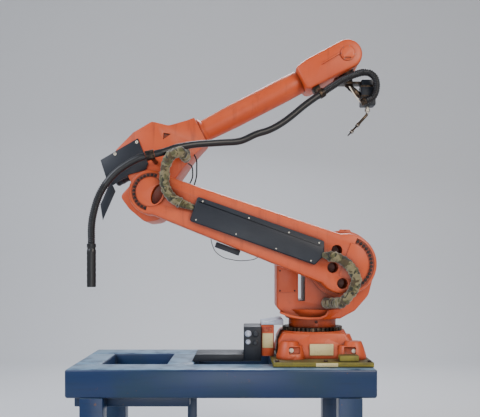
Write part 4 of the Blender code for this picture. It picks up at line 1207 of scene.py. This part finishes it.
class ROBOT_OT_joint_bolts(bpy.types.Operator):
    """Sets the bolts in the arm's two recesses, on its cover, on the side plate and round the wrist."""

    bl_idname = "robot.joint_bolts"
    bl_label = "Joint bolts"

    def execute(self, context):
        radius = settings().bolt_radius
        floor = ARM_FACE_Y + RECESS_DEPTH
        ring = [(x, floor, z) for x, z in arc(0.0, 0.0, 0.154, -37, 83, 14)]
        screws("shoulder_bolts", ring, (0, -1, 0), "lower_arm", ARM, radius, 0.009)
        ring = [(x, floor, z) for x, z in arc(-ARM_LENGTH, 0.0, 0.105, 94, 270, 14)]
        screws("elbow_bolts", ring, (0, -1, 0), "lower_arm", ARM, radius * 0.85, 0.009)
        lower = ((-0.96, -0.066), (-0.70, -0.064), (-0.44, -0.062), (-0.215, -0.058))
        upper = ((-0.96, 0.054), (-0.66, 0.056), (-0.40, 0.058), (-0.205, 0.062))
        cover = [(x, COVER_FACE_Y + rise, z) for rise, row in ((0.002, lower), (0.004, upper)) for x, z in row]
        screws("cover_screws", cover, (0, -1, 0), "lower_arm", ARM, 0.0042, 0.003, finish="nylon")
        plate = [(0.052, PLATE_FACE_Y, 0.361), (-0.108, PLATE_FACE_Y, 0.357)]
        screws("side_plate_screws", plate, (0, -1, 0), "upper_arm", ELBOW, 0.0085, 0.004, finish="nylon")
        cap = [(FOREARM_LENGTH + x, -0.1355, z) for x, z in arc(0, 0, 0.045, 50, 320, 5)]
        screws("cap_screws", cap, (0, -1, 0), "forearm", FOREARM, 0.0022, 0.0012, finish="steel")
        return {"FINISHED"}


class ROBOT_OT_plates(bpy.types.Operator):
    """Makes the bare plates on the base, the connector box and the riser."""

    bl_idname = "robot.plates"
    bl_label = "Bare plates"

    def execute(self, context):
        block("base_bare_plate", (-0.040, 0.110), (-0.2600, -0.2470), (0.022, 0.094), "cream", "base", ROBOT,
              0.001)
        block("box_bare_plate", (-0.338, -0.268), (-0.1330, -0.1295), (0.055, 0.150), "cream", "base", ROBOT,
              0.001)
        block("box_red_plate", (-0.336, -0.276), (-0.1325, -0.1295), (0.162, 0.194), "red_plate", "base",
              ROBOT, 0.0006)
        block("riser_bare_plate", (-0.018, 0.118), (-0.4225, -0.4195), (-0.027, -0.004), "cream", "base",
              ROBOT, 0.0006)
        return {"FINISHED"}


MOTORS = {
    "axis_2_motor": (ROBOT, (0.170, 0.1703, 0.605), (0, 1, 0), 0.092, 0.032, 0.200, "turret"),
    "axis_3_motor": (ELBOW, (0.0, 0.1803, 0.0), (0, 1, 0), 0.074, 0.026, 0.170, "upper_arm"),
    "wrist_motor_1": (ELBOW, (-0.1003, -0.085, 0.258), (-1, 0, 0), 0.052, 0.014, 0.105, "upper_arm"),
    "wrist_motor_2": (ELBOW, (-0.1003, 0.085, 0.258), (-1, 0, 0), 0.052, 0.014, 0.105, "upper_arm"),
    "axis_1_motor": (ROBOT, (-0.176, 0.0, 0.7403), (0, 0, 1), 0.052, 0.020, 0.070, "turret"),
}


class ROBOT_OT_motors(bpy.types.Operator):
    """Adds each motor's clamp bands, flange screws and cable connector."""

    bl_idname = "robot.motors"
    bl_label = "Motors"

    def execute(self, context):
        for name, (link, foot, along, radius, neck, top, body) in MOTORS.items():
            foot = Vector(foot)
            along = Vector(along)
            for number, share in enumerate((0.12, 0.55, 0.92)):
                start = foot + along * (neck + (top - neck) * share - 0.003)
                clamp = [(0.0, radius), (0.001, radius + 0.0022), (0.005, radius + 0.0022), (0.006, radius)]
                turned(f"{name}_band_{number}", clamp, start, along, "dark_steel", body, link, 40)
            across = Vector((0, 0, 1)) if abs(along.z) < 0.5 else Vector((-1, 0, 0))
            third = along.cross(across)
            flange = [foot + along * neck * 0.93 + (across * math.cos(a) + third * math.sin(a)) * radius * 1.075
                      for a in [math.pi / 4 + math.pi / 2 * i for i in range(4)]]
            screws(name + "_screws", flange, along, body, link, 0.0042, 0.004)
            seat_point = foot + along * (neck + (top - neck) * 0.72) + across * radius * 0.94
            turned(name + "_connector", [(0.0, 0.017), (0.008, 0.017), (0.009, 0.014), (0.020, 0.014),
                                         (0.021, 0.0155), (0.026, 0.0155), (0.028, 0.010)],
                   seat_point, across, "zinc", body, link, 24)
        return {"FINISHED"}


LEG_PLACES = [(x, y) for x in (-0.816, 0.754) for y in (-0.430, 0.430)]


class ROBOT_OT_stand_details(bpy.types.Operator):
    """Adds the stand's weld beads, its feet's anchor bolts and the riser's hold-down bolts."""

    bl_idname = "robot.stand_details"
    bl_label = "Stand details"

    def execute(self, context):
        anchors = [(x + dx, y + dy, 0.0198) for x, y in LEG_PLACES for dx in (-0.085, 0.085)
                   for dy in (-0.085, 0.085)]
        screws("anchor_bolts", anchors, (0, 0, 1), "base", WORLD, 0.011, 0.012, 6, "steel", 1.6)
        bolts = [(x, y, 0.0) for x in (-0.255, 0.045, 0.315) for y in (-0.395, 0.395)]
        screws("riser_bolts", bolts, (0, 0, 1), "base", ROBOT, 0.012, 0.010, 6, "screws", 1.5)
        joints = [(-0.7962, -0.2612), (-0.3862, -0.2612), (-0.2058, -0.2612), (0.2888, -0.2612),
                  (0.4692, -0.2612), (0.7338, -0.2612)]
        for number, (x, y) in enumerate(joints):
            for side in (-1, 1):
                bead = [(x, -side * y, 0.506 + i * 0.0065) for i in range(26)]
                path = [Vector(p) for p in bead]
                tube(f"weld_{number}_{side + 1}", path, 0.007, "blue_paint", "base", step=0.0022, sides=8,
                     ridge_height=0.0016, ridge_pitch=0.009)
        return {"FINISHED"}


class ROBOT_OT_stage(bpy.types.Operator):
    """Makes the camera, the pale floor and backdrop, and the soft studio lights."""

    bl_idname = "robot.stage"
    bl_label = "Camera and stage"

    def execute(self, context):
        make_camera()
        make_stage()
        make_lights()
        return {"FINISHED"}


CAMERA_PLACE = (0.084, -4.8, 1.324)
PHOTO_WIDTH_PX = 480
PHOTO_HEIGHT_PX = 417
FOCAL_PX = 713.0
HORIZON_PX = 262.0
SENSOR_MM = 36.0


def make_camera():
    """A level camera with a small upward shift, as the photograph's was."""
    camera = bpy.data.cameras.new("camera")
    camera.sensor_width = SENSOR_MM
    camera.lens = FOCAL_PX / PHOTO_WIDTH_PX * SENSOR_MM
    camera.shift_y = (HORIZON_PX - PHOTO_HEIGHT_PX / 2) / PHOTO_WIDTH_PX
    holder = linked("camera", camera)
    holder.location = CAMERA_PLACE
    holder.rotation_euler = (math.radians(90), 0.0, 0.0)
    bpy.context.scene.camera = holder


def make_stage():
    """A pale floor that rises into a backdrop in one curved sweep."""
    bm = bmesh.new()
    section = [(-9.0, 0.0), (4.5, 0.0)]
    section += [(4.5 + 1.5 * math.sin(math.pi / 2 * i / 8), 1.5 - 1.5 * math.cos(math.pi / 2 * i / 8))
                for i in range(1, 9)]
    section.append((6.0, 9.0))
    rows = [[bm.verts.new((x, y, z)) for x in (-12.0, 12.0)] for y, z in section]
    for low, high in zip(rows, rows[1:]):
        bm.faces.new((low[0], low[1], high[1], high[0]))
    mesh = bpy.data.meshes.new("studio_floor")
    bm.to_mesh(mesh)
    bm.free()
    mesh.shade_smooth()
    floor = linked("studio_floor", mesh)
    paper = bpy.data.materials.new("matt_pale_paper")
    paper.use_nodes = True
    shader = paper.node_tree.nodes["Principled BSDF"]
    shader.inputs["Base Color"].default_value = linear("D9DBDE")
    shader.inputs["Roughness"].default_value = 0.9
    mesh.materials.append(paper)


LIGHTS = {
    "window_light": ((-4.5, -3.0, 4.6), 3.5, 300.0, "EEF3FF"),
    "hall_light": ((3.8, -4.6, 4.2), 2.6, 250.0, "FFF3E6"),
    "rim_light": ((0.5, 3.6, 5.2), 3.0, 240.0, "F4F7FF"),
    "low_fill": ((0.0, -5.5, 0.9), 3.0, 70.0, "FFFFFF"),
}


def make_lights():
    """Large soft lights that look at the robot's middle, and a pale surrounding light."""
    middle = Vector((0.0, 0.0, 1.3))
    for name, (place, size, watts, colour) in LIGHTS.items():
        light = bpy.data.lights.new(name, "AREA")
        light.shape = "DISK"
        light.size = size
        light.energy = watts
        light.color = linear(colour)[:3]
        holder = linked(name, light)
        holder.location = place
        holder.rotation_euler = (middle - Vector(place)).to_track_quat("-Z", "Y").to_euler()
    world = bpy.data.worlds.new("pale_room")
    world.use_nodes = True
    background = world.node_tree.nodes["Background"].inputs
    background["Color"].default_value = linear("E8ECF2")
    background["Strength"].default_value = 0.42
    bpy.context.scene.world = world


class ROBOT_PT_panel(bpy.types.Panel):
    """Lists the steps and the settings in the sidebar."""

    bl_label = "Robot arm"
    bl_space_type = "VIEW_3D"
    bl_region_type = "UI"
    bl_category = "Robot arm"

    def draw(self, context):
        for step in STEPS:
            self.layout.operator(step.bl_idname)
        for name in RobotArmSettings.__annotations__:
            self.layout.prop(context.scene.robot_arm_settings, name)


STEPS = (ROBOT_OT_stage, ROBOT_OT_hoses, ROBOT_OT_thin_hoses, ROBOT_OT_sleeves, ROBOT_OT_castings, ROBOT_OT_base,
         ROBOT_OT_turret, ROBOT_OT_lower_arm, ROBOT_OT_elbow, ROBOT_OT_wrist, ROBOT_OT_tool,
         ROBOT_OT_joint_bolts, ROBOT_OT_plates, ROBOT_OT_motors, ROBOT_OT_stand_details)


def register():
    for item in (RobotArmSettings, *STEPS, ROBOT_PT_panel):
        bpy.utils.register_class(item)
    bpy.types.Scene.robot_arm_settings = bpy.props.PointerProperty(type=RobotArmSettings)


def unregister():
    del bpy.types.Scene.robot_arm_settings
    for item in (ROBOT_PT_panel, *reversed(STEPS), RobotArmSettings):
        bpy.utils.unregister_class(item)


def main():
    """Runs every step in order."""
    register()
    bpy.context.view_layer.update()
    bpy.ops.robot.stage()
    bpy.ops.robot.hoses()
    bpy.ops.robot.thin_hoses()
    bpy.ops.robot.sleeves()
    bpy.ops.robot.castings()
    bpy.ops.robot.base()
    bpy.ops.robot.turret()
    bpy.ops.robot.lower_arm()
    bpy.ops.robot.elbow()
    bpy.ops.robot.wrist()
    bpy.ops.robot.tool()
    bpy.ops.robot.joint_bolts()
    bpy.ops.robot.plates()
    bpy.ops.robot.motors()
    bpy.ops.robot.stand_details()


if __name__ == "__main__":
    main()
